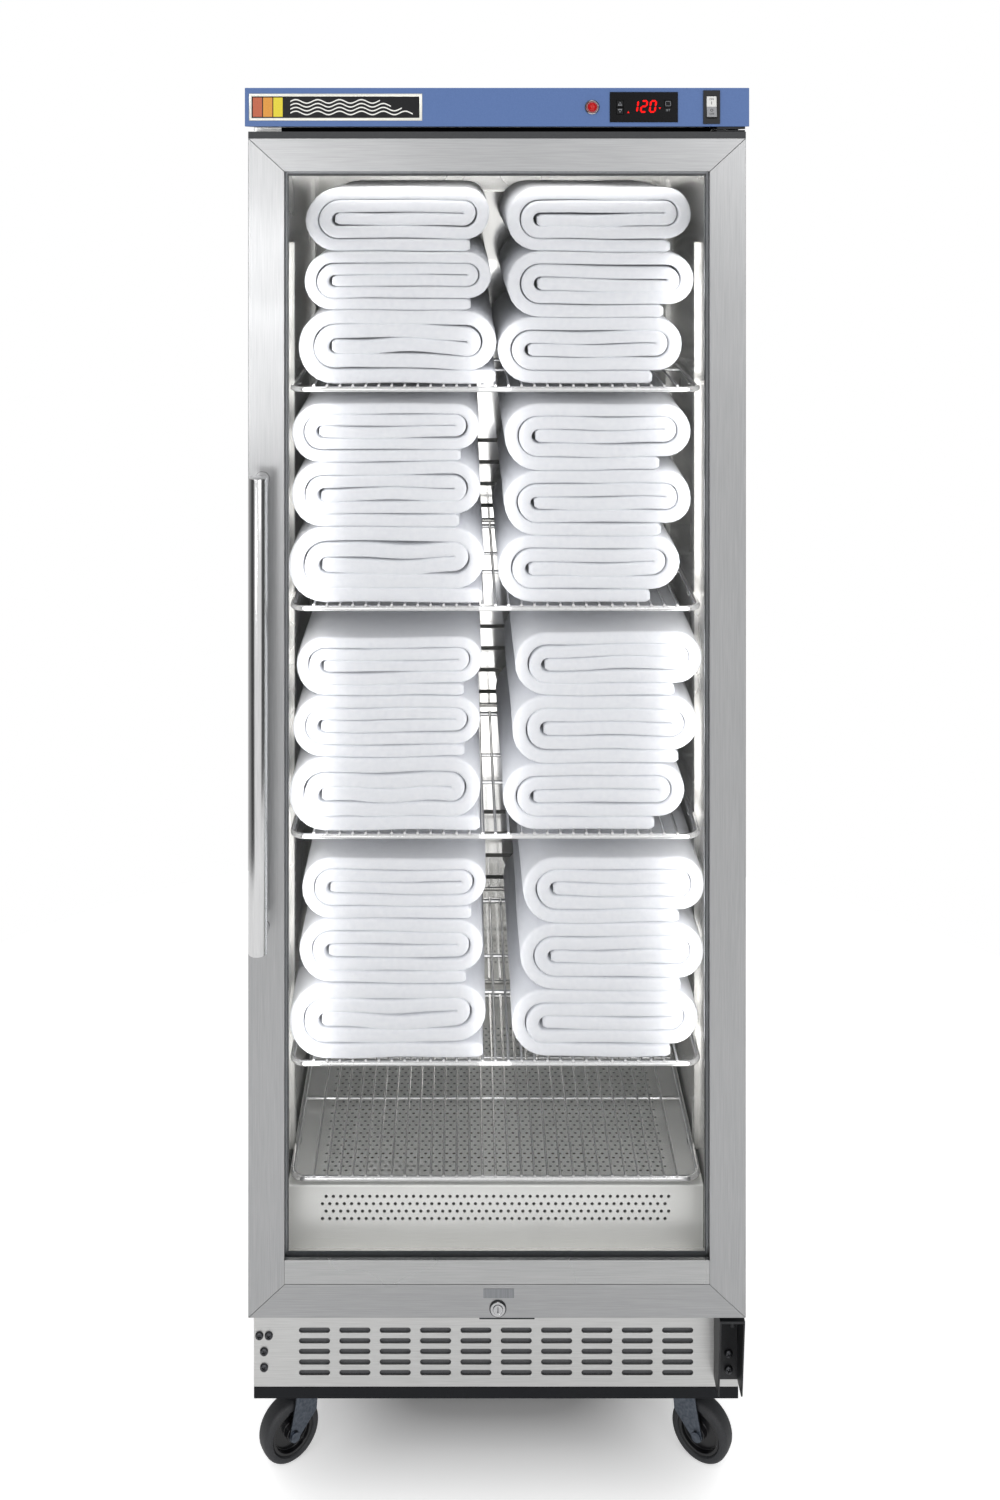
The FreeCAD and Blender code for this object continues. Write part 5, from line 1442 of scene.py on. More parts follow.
@dataclass
class ControlPanel:
    """The blue panel with its nameplate, pilot lamp, display and rocker switch, and the cover behind."""

    arrow: float = 2.6 * MM
    arrow_line: float = 0.5 * MM
    arrow_squash: float = 0.85
    marks: tuple[tuple[Point, int], ...] = (((156.0 * MM, 1670.6 * MM), 1), ((193.4 * MM, 1675.0 * MM), -1))
    mark_size: float = 1.3 * MM
    mark_proud: float = 0.12 * MM
    key_proud: float = 0.08 * MM
    set_inset: float = 0.8 * MM
    set_line: float = 0.45 * MM
    set_corners: Point = (1.25 * MM, 0.8 * MM)
    set_word: Point = (2.4 * MM, 4.2 * MM)
    barrel: float = 6.1 * MM
    barrel_depth: float = 22.0 * MM
    bezel: tuple[Point, ...] = ((1.0, 1.2), (0.93, 2.1), (0.84, 2.5), (0.74, 2.2), (0.71, 1.0))
    lens_radius: float = 6.0 * MM
    lens_foot: Point = (1.0 * MM, 2.5 * MM)
    word_height: float = 2.3 * MM
    word_offset: float = 2.6 * MM
    sign_proud: float = 0.1 * MM
    bar_sign: Point = (0.3 * MM, 3.6 * MM)
    circle_middle: float = 2.0 * MM
    circle: Point = (1.7 * MM, 1.15 * MM)
    sign_offset: float = 6.3 * MM
    pivot_depth: float = 3.0 * MM
    rocker_tilt: float = math.radians(-7)
    rocker_slope: float = math.radians(4.65)
    rocker_dip: float = 4.5 * MM

    def build(self) -> None:
        """Make and dress every piece of the panel."""
        refine("control_panel", "cabinet", "blue_panel", BLUE_PAINT, 1.3 * MM, 3)
        refine("top_cover", "cabinet", "galvanised", GALVANISED, 0.6 * MM)
        Nameplate().build()
        self.pilot_lamp()
        self.display()
        self.switch()

    def pilot_lamp(self) -> None:
        """A chromed bezel and barrel with a domed red lens."""
        lamp, panel = Block.of("pilot_lamp"), Block.of("control_panel")
        centre = Vector((lamp.middle.x, panel.low.y, lamp.middle.z))
        place = facing(FRONT, centre)
        r = lamp.size.x / 2
        foot, spring = self.lens_foot
        outline = [(0, -self.barrel_depth), (self.barrel, -self.barrel_depth), (self.barrel, 0), (r, 0)]
        outline += [(share * r, height * MM) for share, height in self.bezel] + [(0, foot)]
        bezel = lathed(outline, 56, place)
        deliver("pilot_lamp_bezel", shaded(bezel), "cabinet", "lamp_red", "pilot_lamp", finish=LOCK_CHROME)
        dome = arc((0, spring), self.lens_radius, 0, 90, 11)
        lens = lathed([(0, foot), (self.lens_radius, foot)] + dome, 48, place)
        deliver("pilot_lamp_lens", shaded(lens), "cabinet", "lamp_red", finish=LAMP_RED)

    def display(self) -> None:
        """The display's window, its figures and marks, the keys and the board behind."""
        window = Block.of("display_window")
        refine("display_window", "cabinet", "display_black", DISPLAY_BLACK, 0.5 * MM, 3)
        refine("control_board", "cabinet", "circuit_board", CIRCUIT, 0.0)
        face = window.low.y
        deliver("display_figures", Readout().mesh(face), "cabinet", "display_black", finish=DIGIT_RED)
        marks = [prism(self.corners(centre, self.mark_size, sign), face - self.mark_proud, face, Axis.DEPTH)
                 for centre, sign in self.marks]
        deliver("display_marks", joined(*marks), "cabinet", "display_black", finish=DIGIT_RED)
        for node, sign in (("key_up", 1), ("key_down", -1)):
            key = Block.of(node)
            refine(node, node, "key_black", KEY_BLACK, 0.3 * MM)
            outer, inner = (self.corners((key.middle.x, key.middle.z), size, sign)
                            for size in (self.arrow, self.arrow - 2 * self.arrow_line))
            mark = ring_prism(outer, inner, key.low.y - self.key_proud, key.low.y)
            deliver(f"{node}_arrow", mark, node, "key_black", finish=GREY_INK)
        key = Block.of("key_set")
        refine("key_set", "key_set", "key_black", KEY_BLACK, 0.3 * MM)
        outer, inner = (rounded_rectangle((key.low.x + inset, key.low.z + inset),
                                          (key.high.x - inset, key.high.z - inset), corner)
                        for inset, corner in zip((self.set_inset, self.set_inset + self.set_line),
                                                 self.set_corners))
        mark = ring_prism(outer, inner, key.low.y - self.key_proud, key.low.y)
        deliver("key_set_outline", mark, "key_set", "key_black", finish=GREY_INK)
        height, drop = self.set_word
        where = Vector((key.middle.x, face, key.low.z - drop))
        deliver("set_word", lettering("SET", height, where), "cabinet", "display_black", finish=GREY_INK)

    def corners(self, centre: Point, size: float, sign: int) -> list[Point]:
        """A triangle that points up or down."""
        (x, z), rise = centre, sign * size * self.arrow_squash
        return [(x - size, z - rise), (x + size, z - rise), (x, z + rise)]

    def switch(self) -> None:
        """The switch's bezel and its rocker, with its words and signs; the rocker's upper half is painted lit
        and its lower half painted shaded.
        """
        bezel, panel = Block.of("switch_bezel"), Block.of("control_panel")
        refine("switch_bezel", "cabinet", "switch_black", SWITCH_BLACK, 0.7 * MM, 3)
        rocker = eased(node_mesh("rocker_switch"), 0.35 * MM)
        rocker.materials.clear()
        # painted light and shade: a light copy of the rocker's plastic on the upper half and a grey one on the
        # lower half, for how the light falls
        for finish in (ROCKER_LIT_HALF, ROCKER_SHADED_HALF):
            rocker.materials.append(finish.material())
        for face in rocker.polygons:
            face.material_index = 0 if face.center.z > bezel.middle.z else 1
        deliver("rocker_two_tone", rocker, "rocker", "rocker_two_tone", "rocker_switch")
        pivot = Vector((bezel.middle.x, panel.low.y + self.pivot_depth, bezel.middle.z))
        half_bar, bar = self.bar_sign
        offset, height = Vector((0, 0, self.word_offset)), self.word_height
        marks: list[tuple[str, bpy.types.Mesh, float]] = [
            ("on_word", lettering("ON", height, offset), 1),
            ("on_sign", slab((-half_bar, -self.sign_proud, -bar), (half_bar, 0, 0)), 1),
            ("off_sign", self.circle_sign(), -1),
            ("off_word", lettering("OFF", height, -offset), -1),
        ]
        for name, mesh, half in marks:
            slope = Matrix.Rotation(half * self.rocker_slope, 4, "X")
            up = Matrix.Translation((0, 0, half * self.sign_offset))
            dip = Matrix.Translation((0, -self.rocker_dip, 0))
            tilt = Matrix.Rotation(self.rocker_tilt, 4, "X")
            mesh.transform(Matrix.Translation(pivot) @ tilt @ dip @ slope @ up)
            deliver(f"rocker_{name}", mesh, "rocker", "rocker_two_tone", finish=SWITCH_BLACK)

    def circle_sign(self) -> bpy.types.Mesh:
        """The open circle that means off."""
        outer, inner = (arc((0, self.circle_middle), radius, 0, 345, 23) for radius in self.circle)
        return ring_prism(outer, inner, -self.sign_proud, 0)


# ---------------------------------------------------------------------------------------------------
# Door
# ---------------------------------------------------------------------------------------------------

@dataclass
class Door:
    """The glazed door: frame, cap, glass and its dark border, gasket, handle, lock and hinge plates."""

    stile: float = 43.0 * MM
    rail: float = 39.5 * MM
    sill_strip: float = 29.0 * MM
    rebate: float = 8.0 * MM
    lip: float = 6.0 * MM
    channel: float = 24.0 * MM
    ease: float = 0.6 * MM
    joint: float = 0.5 * MM
    border_side: float = 11.5 * MM
    border_foot: float = 40.5 * MM
    border_head: float = 13.0 * MM
    border_inset: float = 1.0 * MM
    border_depths: Point = (4.02 * MM, 4.3 * MM)
    handle_radius: float = 11.0 * MM
    post_radius: float = 9.0 * MM
    post_inset: float = 10.5 * MM
    plate_low: Point = (-16.3 * MM, 260.4 * MM)
    plate_high: Point = (20.2 * MM, 271.5 * MM)
    plate_proud: float = 0.35 * MM
    plate_corner: float = 0.8 * MM
    bar_soft: float = 1.0 * MM
    post_foot: Point = (0.4 * MM, 0.9 * MM)
    lock_ring: tuple[Point, ...] = (
        (5.55, -12), (8.5, -12), (8.5, 0), (9.0, 0), (9.0, 1.7), (8.6, 2.3), (8.0, 2.5), (6.6, 2.5),
        (6.0, 2.2), (5.55, 1.9), (5.55, -12),
    )
    washer: tuple[Point, ...] = ((9.0, 0), (10.0, 0), (10.0, 1.0), (9.7, 1.4), (9.0, 1.4), (9.0, 0))

    def build(self) -> None:
        """Make and dress every piece of the door."""
        self.frame_members()
        refine("door_cap", "door", "door_cap_black", CAP_PAINT, 1.0 * MM, 3)
        dress("door_glass", CLEAR)
        dress("glass_spacer", SPACER_ALLOY)
        self.glass_border()
        self.gasket()
        self.handle()
        self.lock()
        refine("door_hinge_plates", "door", "black_bracket", BRACKET_PAINT, 0.4 * MM)

    def frame_members(self) -> None:
        """Two stiles and two rails mitred at the corners, and the sill strip before the glass."""
        box = Block.of("door_frame")
        front, back = box.low.y, box.high.y
        side, foot, head = box.high.x, box.low.z, box.high.z
        glass, glass_end = front + self.lip, front + self.lip + self.channel
        section = [(None, front), (0.0, front), (0.0, glass), (self.rebate, glass), (self.rebate, glass_end),
                   (0.0, glass_end), (0.0, back), (None, back)]

        def corner(step: float | None, hand: int, top: bool) -> Point:
            """Where a section's point lies at one corner of the frame.

            Args:
                step: Distance out from the opening; none at the outer edge.
                hand: Minus one on the left, one on the right.
                top: Whether it is an upper corner.

            Returns:
                Place across and up.
            """
            if step is None:
                return hand * side, head if top else foot
            level = head - self.rail + step if top else foot + self.rail - step
            return hand * (side - self.stile + step), level

        members = {
            "door_stile_left": ((-1, False), (-1, True), DOOR_UPRIGHT),
            "door_stile_right": ((1, False), (1, True), DOOR_UPRIGHT),
            "door_rail_top": ((-1, True), (1, True), DOOR_LEVEL),
            "door_rail_bottom": ((-1, False), (1, False), DOOR_LEVEL),
        }
        for name, (start, end, finish) in members.items():
            vertices = []
            for hand, top in (start, end):
                for step, depth in section:
                    x, z = corner(step, hand, top)
                    vertices.append((x, depth, z))
            mesh = eased(mesh_of(name, vertices, tube_faces(2, len(section))), self.ease, 3)
            deliver(name, mesh, "door", "stainless", "door_frame", finish=finish)
        opening = side - self.stile
        strip = slab((-opening, front, foot + self.rail + self.joint),
                     (opening, glass, foot + self.rail + self.sill_strip))
        deliver("door_sill_strip", eased(strip, self.ease, 3), "door", "stainless", finish=SILL_STEEL)
        outline = rounded_rectangle(self.plate_low, self.plate_high, self.plate_corner)
        plate = prism(outline, front - self.plate_proud, front, Axis.DEPTH)
        deliver("blank_plate", eased(plate, 0.1 * MM), "door", "silver_panel", finish=SPACER_ALLOY)

    def glass_border(self) -> None:
        """The dark printed border on the inner face of the front pane."""
        glass = Block.of("door_glass")
        low, high = (glass.low.y + depth for depth in self.border_depths)
        inset = self.border_inset
        outer = rectangle((glass.low.x + inset, glass.low.z + inset),
                          (glass.high.x - inset, glass.high.z - inset))
        inner = rectangle((glass.low.x + self.border_side, glass.low.z + self.border_foot),
                          (glass.high.x - self.border_side, glass.high.z - self.border_head))
        band = ring_prism(outer, inner, low, high)
        deliver("glass_border", band, "door", "spacer_alloy", finish=GLASS_EDGE)

    def gasket(self) -> None:
        """The folded magnetic gasket: a base in the frame, a bellows and a magnet pocket."""
        box = Block.of("door_gasket")
        front, back = box.low.y, box.high.y
        steps = [(0.0, front), (17.0, front), (17.0, front + 2.0 * MM), (14.6, front + 3.4 * MM),
                 (16.6, front + 4.8 * MM), (16.6, back - 0.6 * MM), (16.0, back), (1.0, back),
                 (0.4, back - 0.6 * MM), (0.4, front + 4.8 * MM), (2.4, front + 3.4 * MM),
                 (0.0, front + 2.0 * MM)]
        profile = [(inset * MM, depth) for inset, depth in steps]
        mesh = mitred_ring((box.low.x, box.low.z), (box.high.x, box.high.z), profile)
        deliver("door_gasket_bellows", eased(mesh, 0.3 * MM), "door", "gasket_rubber", "door_gasket",
                finish=GASKET)

    def handle(self) -> None:
        """The long round bar on its two posts."""
        box, door = Block.of("door_handle"), Block.of("door_frame")
        x, y = box.middle.x, box.low.y + self.handle_radius
        length, r, soft = box.size.z, self.handle_radius, self.bar_soft
        profile = [(0, 0), (r - soft, 0), (r - 0.3 * soft, 0.3 * soft), (r, soft), (r, length - soft),
                   (r - 0.3 * soft, length - 0.3 * soft), (r - soft, length), (0, length)]
        bar = lathed(profile, 64, Matrix.Translation((x, y, box.low.z)))
        reach = door.low.y - y
        parts = [shaded(bar)]
        p, (step, rise) = self.post_radius, self.post_foot
        post = [(0, 0), (p, 0), (p, step), (p - step, rise), (p - step, reach), (0, reach)]
        for level in (box.low.z + self.post_inset, box.high.z - self.post_inset):
            parts.append(shaded(lathed(post, 48, facing(FRONT, Vector((x, door.low.y, level))))))
        deliver("door_handle_bar", joined(*parts), "door", "polished_handle", "door_handle",
                finish=HANDLE_STEEL)

    def lock(self) -> None:
        """The lock's flanged barrel with its dark washer, and the plug."""
        box, door = Block.of("lock_barrel"), Block.of("door_frame")
        place = facing(FRONT, Vector((box.middle.x, door.low.y, box.middle.z)))
        barrel, washer = (lathed([(r * MM, h * MM) for r, h in steps], 64, place)
                          for steps in (self.lock_ring, self.washer))
        deliver("lock_barrel_ring", shaded(barrel), "door", "lock_chrome", "lock_barrel", finish=LOCK_CHROME)
        deliver("lock_washer", shaded(washer), "door", "lock_chrome", finish=BRACKET_PAINT)
        refine("lock_core", "lock", "lock_chrome", LOCK_CHROME, 0.25 * MM)


# ---------------------------------------------------------------------------------------------------
# Chamber
# ---------------------------------------------------------------------------------------------------

@dataclass
class Chamber:
    """Shelves, pilasters and clips, the air duct, the perforated heater cover, heater and blower."""

    copier: Copier
    shelves: int = 5
    corner: float = 16.0 * MM
    rod: float = 3.5 * MM
    wire: float = 1.75 * MM
    cross: float = 2.5 * MM
    wires: int = 29
    pitch: float = 16.1 * MM
    weld: float = 0.5 * MM
    cross_inset: float = 156.0 * MM
    clip_width: float = 12.0 * MM
    clip_depth: float = 8.0 * MM
    clip_height: float = 4.0 * MM
    clip_sheet: float = 1.2 * MM
    clip_hook: float = 1.6 * MM
    sheet: float = 1.0 * MM
    hole_radius: float = 2.25 * MM
    hole_pitch: float = 9.05 * MM
    hole_columns: int = 48
    front_rows: int = 4
    front_row_pitch: float = 9.2 * MM
    front_first_row: float = 14.0 * MM
    lid_rows: int = 39
    lid_row_pitch: float = 7.84 * MM
    lid_first_row: float = 27.0 * MM
    fold: float = 2.0 * MM
    punch: Recipe = field(default_factory=punched_recipe)

    def build(self) -> None:
        """Make and dress everything inside the chamber."""
        self.wire_shelves()
        refine("shelf_pilasters", "cabinet", "chamber_stainless", CHAMBER_STEEL, 0.15 * MM)
        self.clips()
        refine("air_duct", "cabinet", "chamber_stainless", DUCT_STEEL, 0.25 * MM)
        self.cover()
        refine("heater_element", "cabinet", "heater_sheath", HEATER, 0.0)
        refine("blower_housing", "cabinet", "galvanised", GALVANISED, 0.2 * MM)
        refine("blower_motor", "cabinet", "motor_grey", MOTOR, 0.6 * MM)
        refine("blower_rotor", "rotor", "galvanised", GALVANISED, 0.0)

    def wire_shelves(self) -> None:
        """Five shelves of rods and wires."""
        recipe = shelf_recipe()
        for number in range(1, self.shelves + 1):
            node = f"shelf_{number}"
            box = Block.of(node)
            front, back = box.low.y + self.rod, box.high.y - self.rod
            wire_level = self.rod + self.wire - self.weld
            inset = self.cross_inset - self.rod
            mesh = recipe.make(
                CHROME, Half_Width=box.high.x - self.rod, Front=front, Back=back, Corner=self.corner,
                Rod_Radius=self.rod, Wire_Radius=self.wire, Cross_Radius=self.cross, Wires=self.wires,
                Pitch=self.pitch, Wire_Level=wire_level,
                Cross_Level=wire_level - self.wire - self.cross + self.weld,
                Cross_Front=front + inset, Cross_Pitch=back - front - 2 * inset)
            mesh.transform(Matrix.Translation((0, 0, box.low.z + self.rod)))
            deliver(f"wire_shelf_{number}", shaded(mesh), "cabinet", "chrome_wire", node)

    def clips(self) -> None:
        """Folded clips hooked into the pilasters, one under each end of each side rod."""
        t, reach, height, hook = self.clip_sheet, self.clip_depth, self.clip_height, self.clip_hook
        outline = [(-reach, -t), (-reach, 0), (0, 0), (0, -height + t), (hook, -height + t), (hook, -height),
                   (-t, -height), (-t, -t)]
        shape = eased(prism(outline, -self.clip_width / 2, self.clip_width / 2, Axis.DEPTH), 0.2 * MM, 1)
        box = Block.of("shelf_clips")
        levels = [Block.of(f"shelf_{number}").low.z for number in range(1, self.shelves + 1)]
        depths = (box.low.y + self.clip_width / 2, box.high.y - self.clip_width / 2)
        spots = [(hand * box.high.x, y, level) for level in levels for y in depths for hand in (1, -1)]
        turns = [(0.0, 0.0, 0.0 if x > 0 else math.pi) for x, _, _ in spots]
        mesh = self.copier.place(shape, spots, turns, CHROME)
        deliver("folded_clips", mesh, "cabinet", "chrome_wire", "shelf_clips")

    def cell(self, width: float, height: float, holed: bool) -> bpy.types.Mesh:
        """One tile of sheet about its middle, with a round hole or, half as wide, with none.

        Args:
            width: Width of a holed tile.
            height: Its height.
            holed: Whether it has the hole.

        Returns:
            The mesh.
        """
        x, y, t = width / 2, height / 2, self.sheet / 2
        if not holed:
            corners = [(px, py, pz) for pz in (-t, t) for px, py in rectangle((-x / 2, -y), (x / 2, y))]
            return mesh_of("blank", corners, [(3, 2, 1, 0), (4, 5, 6, 7)])
        rim = [(x, 0), (x, y), (0, y), (-x, y), (-x, 0), (-x, -y), (0, -y), (x, -y)]
        sides = len(rim)
        hole = arc((0, 0), self.hole_radius, 0, 360 - 360 / sides, sides - 1)
        vertices = [(*p, level) for level in (t, -t) for loop in (rim, hole) for p in loop]
        faces = [face for first, second in ((0, 1), (1, 3), (3, 2))
                 for face in walls(first * sides, second * sides, sides)]
        mesh = bpy.data.meshes.new("punched")
        mesh.from_pydata(vertices, [], faces)
        return mesh

    def punched(self, rows: int, row_pitch: float, place: Vector, upright: bool) -> bpy.types.Mesh:
        """A field of staggered holes.

        Args:
            rows: Number of rows.
            row_pitch: Distance between them.
            place: Centre of the field.
            upright: Whether it stands upright.

        Returns:
            The mesh.
        """
        holders = [shown(name, self.cell(self.hole_pitch, row_pitch, holed))
                   for name, holed in (("cell", True), ("blank", False))]
        mesh = self.punch.make(
            COVER_STEEL, Columns=self.hole_columns, Rows=rows, Pitch=self.hole_pitch, Row_Pitch=row_pitch,
            Cell=holders[0], Blank=holders[1], Place=place, Rotation=(QUARTER if upright else 0.0, 0.0, 0.0))
        for holder in holders:
            bpy.data.objects.remove(holder)
        return mesh

    def cover(self) -> None:
        """The folded cover over the heater, punched on its front and its lid, with painted shade on its inner
        faces.
        """
        box = Block.of("heater_cover")
        (x0, y0, z0), (x1, y1, z1) = box.low, box.high
        s, f = self.sheet, self.fold
        half = (self.hole_columns + 0.5) * self.hole_pitch / 2
        rows, pitch = self.front_rows, self.front_row_pitch
        middle = z1 - self.front_first_row - (rows - 1) * pitch / 2
        low, high = middle - rows * pitch / 2, middle + rows * pitch / 2
        front = [self.punched(rows, pitch, Vector((0, y0 + s / 2, middle)), True),
                 slab((x0, y0, z0), (x1, y0 + s, low)), slab((x0, y0, high), (x1, y0 + s, z1 - f)),
                 slab((x0, y0, low), (-half, y0 + s, high)), slab((half, y0, low), (x1, y0 + s, high))]
        rows, pitch = self.lid_rows, self.lid_row_pitch
        middle = y0 + self.lid_first_row + (rows - 1) * pitch / 2
        low, high = middle - rows * pitch / 2, middle + rows * pitch / 2
        lid = [self.punched(rows, pitch, Vector((0, middle, z1 - s / 2)), False),
               slab((x0, y0 + f, z1 - s), (x1, low, z1)), slab((x0, high, z1 - s), (x1, y1, z1)),
               slab((x0, low, z1 - s), (-half, high, z1)), slab((half, low, z1 - s), (x1, high, z1))]
        bend = arc((y0 + f, z1 - f), f, 90, 180, 6) + arc((y0 + f, z1 - f), f - s, 180, 90, 6)
        fold = prism(bend, x0, x1, Axis.ACROSS)
        sides = [slab((x0, y0 + s, z0), (x0 + s, y1, z1 - s)), slab((x1 - s, y0 + s, z0), (x1, y1, z1 - s))]
        mesh = finished(shaded(joined(*front, *lid, fold, *sides)), COVER_STEEL)
        mesh.materials.append(COVER_UNDERSIDE_SHADE.material())
        # painted shade: faces inside the cover that face back or down get the dark finish, so that the holes
        # look dark
        for face in mesh.polygons:
            rearward = face.normal.y > MOSTLY
            inner = rearward and face.center.y > y0 + 0.1 * s or face.center.z < z1 - 0.1 * s
            face.material_index = int(inner and (rearward or face.normal.z < -MOSTLY))
        deliver("punched_heater_cover", mesh, "cabinet", "chamber_stainless", "heater_cover")


# ---------------------------------------------------------------------------------------------------
# Blankets
# ---------------------------------------------------------------------------------------------------

@dataclass
class Stack:
    """The sides and heights of three folded blankets, from the lowest up, in millimetres."""

    sides: tuple[Point, Point, Point]
    heights: Triple
    fronts: Triple
    flaps: Triple


@dataclass
class FoldedBlanket:
    """A fleece sheet folded into a flat spiral: out along the bottom, round the left end, and inwards."""

    ply_share: float = 0.193
    step: float = 5.0 * MM
    turn_step: float = math.radians(14)
    inner_ease: float = 1.0 * MM
    edge: float = 5.0 * MM
    edge_power: float = 0.62
    edge_steps: int = 10
    depth_stations: int = 13
    crowding: float = 1.35
    inner_end: float = 1.46
    end_span: float = 0.3
    end_thick: float = 0.6
    front_wander: float = 2.6 * MM
    front_fade: float = 60.0 * MM
    side_wander: float = 1.6 * MM
    thick_swing: float = 0.07
    front_scale: float = 9.0
    drift_scale: Triple = (11.0, 5.0, 2.0)
    thick_scale: Triple = (14.0, 9.0, 7.0)
    side_scale: Triple = (30.0, 6.0, 3.0)

    def path(self, width: float, height: float, flap: float) -> list[Point]:
        """The fold's centre line in its section.

        Args:
            width: Width of the folded blanket.
            height: Its height.
            flap: How far the free end stops short of the right side.

        Returns:
            Points across and up, from the free end at the lower right to the end inside.
        """
        t = self.ply_share * height
        gap = (height - t) / 4
        level = [t / 2 + i * gap for i in range(5)]
        left, right = t / 2, width - t / 2
        ease = self.inner_ease
        turns = [  # centre across, centre up, radius, start and end angles
            (left + 2 * gap, (level[0] + level[4]) / 2, 2 * gap, 270, 90),
            (right - 1.5 * gap, (level[4] + level[1]) / 2, 1.5 * gap, 90, -90),
            (left + 2 * gap + ease, (level[1] + level[3]) / 2, gap, 270, 90),
            (right - 1.5 * gap - ease, (level[3] + level[2]) / 2, 0.5 * gap, 90, -90),
        ]
        line: list[Point] = [(right - flap, level[0])]
        for across, up, radius, start, end in turns:
            steps = max(4, int(abs(math.radians(end - start)) / self.turn_step))
            bend = arc((across, up), radius, start, end, steps)
            line += self.straight(line[-1], bend[0]) + bend
        line += self.straight(line[-1], (left + self.inner_end * gap + ease, level[2]))
        return line

    def straight(self, start: Point, end: Point) -> list[Point]:
        """Evenly spaced points between two, without them.

        Args:
            start: The first point.
            end: The last one.

        Returns:
            The points between them.
        """
        a, b = Vector(start), Vector(end)
        count = max(2, int((b - a).length / self.step))
        return [tuple(a.lerp(b, i / count)) for i in range(1, count)]

    def mesh(self, name: str, left: float, width: float, height: float, front: float, back: float,
             low: Callable[[float, float], float], high: Callable[[float, float], float],
             flap: float, loose: float, seed: float) -> tuple[bpy.types.Mesh, float]:
        """Sweep the sheet's rounded section along the fold.

        Args:
            name: Name of the mesh.
            left: Where the blanket's left side is.
            width: Width when folded.
            height: Height when folded.
            front: Where its front edges are, in depth.
            back: Where its back edges are.
            low: Level of what it lies on, at a place across and in depth.
            high: Level of its top, likewise.
            flap: How far the free end stops short of the right side.
            loose: How far the inner layers wander.
            seed: Place in the noise that shapes it.

        Returns:
            The mesh and the sheet's length.
        """
        line = [Vector(p) for p in self.path(width, height, flap)]
        count = len(line)
        ply = self.ply_share * height
        stations = self.stations(back - front, ply)
        vertices: list[Triple] = []
        along = 0.0
        for i, point in enumerate(line):
            before, after = line[max(i - 1, 0)], line[min(i + 1, count - 1)]
            tangent = (after - before).normalized()
            normal = Vector((-tangent.y, tangent.x))
            if i:
                along += (point - line[i - 1]).length
            end_shrink = self.end_round(along, i, line, ply)
            for depth, offset in stations:
                y = front + depth
                fade = max(0.0, 1.0 - depth / self.front_fade)
                y += self.swing(along * self.front_scale, seed, 0.0) * self.front_wander * fade
                inner = math.sin(math.pi * min(max(point.y / height, 0.0), 1.0))
                a, b, c = self.drift_scale
                drift = self.swing(point.x * a, y * b, seed + along * c) * loose * inner
                a, b, c = self.thick_scale
                thick = 1.0 + self.thick_swing * self.swing(along * a, y * b, seed + c)
                place = point + normal * (offset * end_shrink * thick) + Vector((0.0, drift))
                a, b, c = self.side_scale
                x = left + place.x + self.side_wander * self.swing(place.y * a, y * b, seed + c)
                share = min(max(place.y / height, 0.0), 1.0)
                bottom, top = low(x, y), high(x, y)
                vertices.append((x, y, bottom + share * (top - bottom)))
        mesh = mesh_of(name, vertices, tube_faces(count, len(stations)))
        mesh.shade_smooth()
        return mesh, along

    @staticmethod
    def swing(*place: float) -> float:
        """Smooth noise at a place, between about minus one and one."""
        return noise.noise(Vector(place))

    def end_round(self, along: float, index: int, line: Sequence[Vector], ply: float) -> float:
        """Thin the sheet towards its two free ends, so that they are rounded.

        Args:
            along: Distance from the outer end.
            index: Place in the line.
            line: The fold's centre line.
            ply: Thickness of the sheet.

        Returns:
            The share of the thickness that is left.
        """
        tail, span = line[index:index + 6], self.end_span * ply
        rest = sum((b - a).length for a, b in zip(tail, tail[1:])) + (ply if index + 6 < len(line) else 0.0)
        near = min(along, rest, span) / span
        return self.end_thick + (1 - self.end_thick) * math.sqrt(1 - (1 - near) ** 2)

    def stations(self, depth: float, ply: float) -> list[Point]:
        """The sheet's section in depth and thickness: two faces joined by a full, soft front and back.

        Args:
            depth: Depth of the blanket.
            ply: Thickness of the sheet.

        Returns:
            Points of depth and thickness.
        """
        half, edge = ply / 2, self.edge
        inner = [edge + (depth - 2 * edge) * (i / self.depth_stations) ** self.crowding
                 for i in range(1, self.depth_stations)]

        def soft(angle: float) -> Point:
            """A point of an oval with full corners.

            Args:
                angle: Direction from the oval's middle.

            Returns:
                The point.
            """
            across, up = (math.copysign(abs(part) ** self.edge_power, part)
                          for part in (math.cos(angle), math.sin(angle)))
            return edge * across, half * up

        turns = [math.pi / 2 + math.pi * i / self.edge_steps for i in range(self.edge_steps + 1)]
        front = [(edge + soft(a)[0], soft(a)[1]) for a in turns]
        back = [(depth - edge - soft(a)[0], soft(a)[1]) for a in reversed(turns)]
        return front + [(d, -half) for d in inner] + back + [(d, half) for d in reversed(inner)]


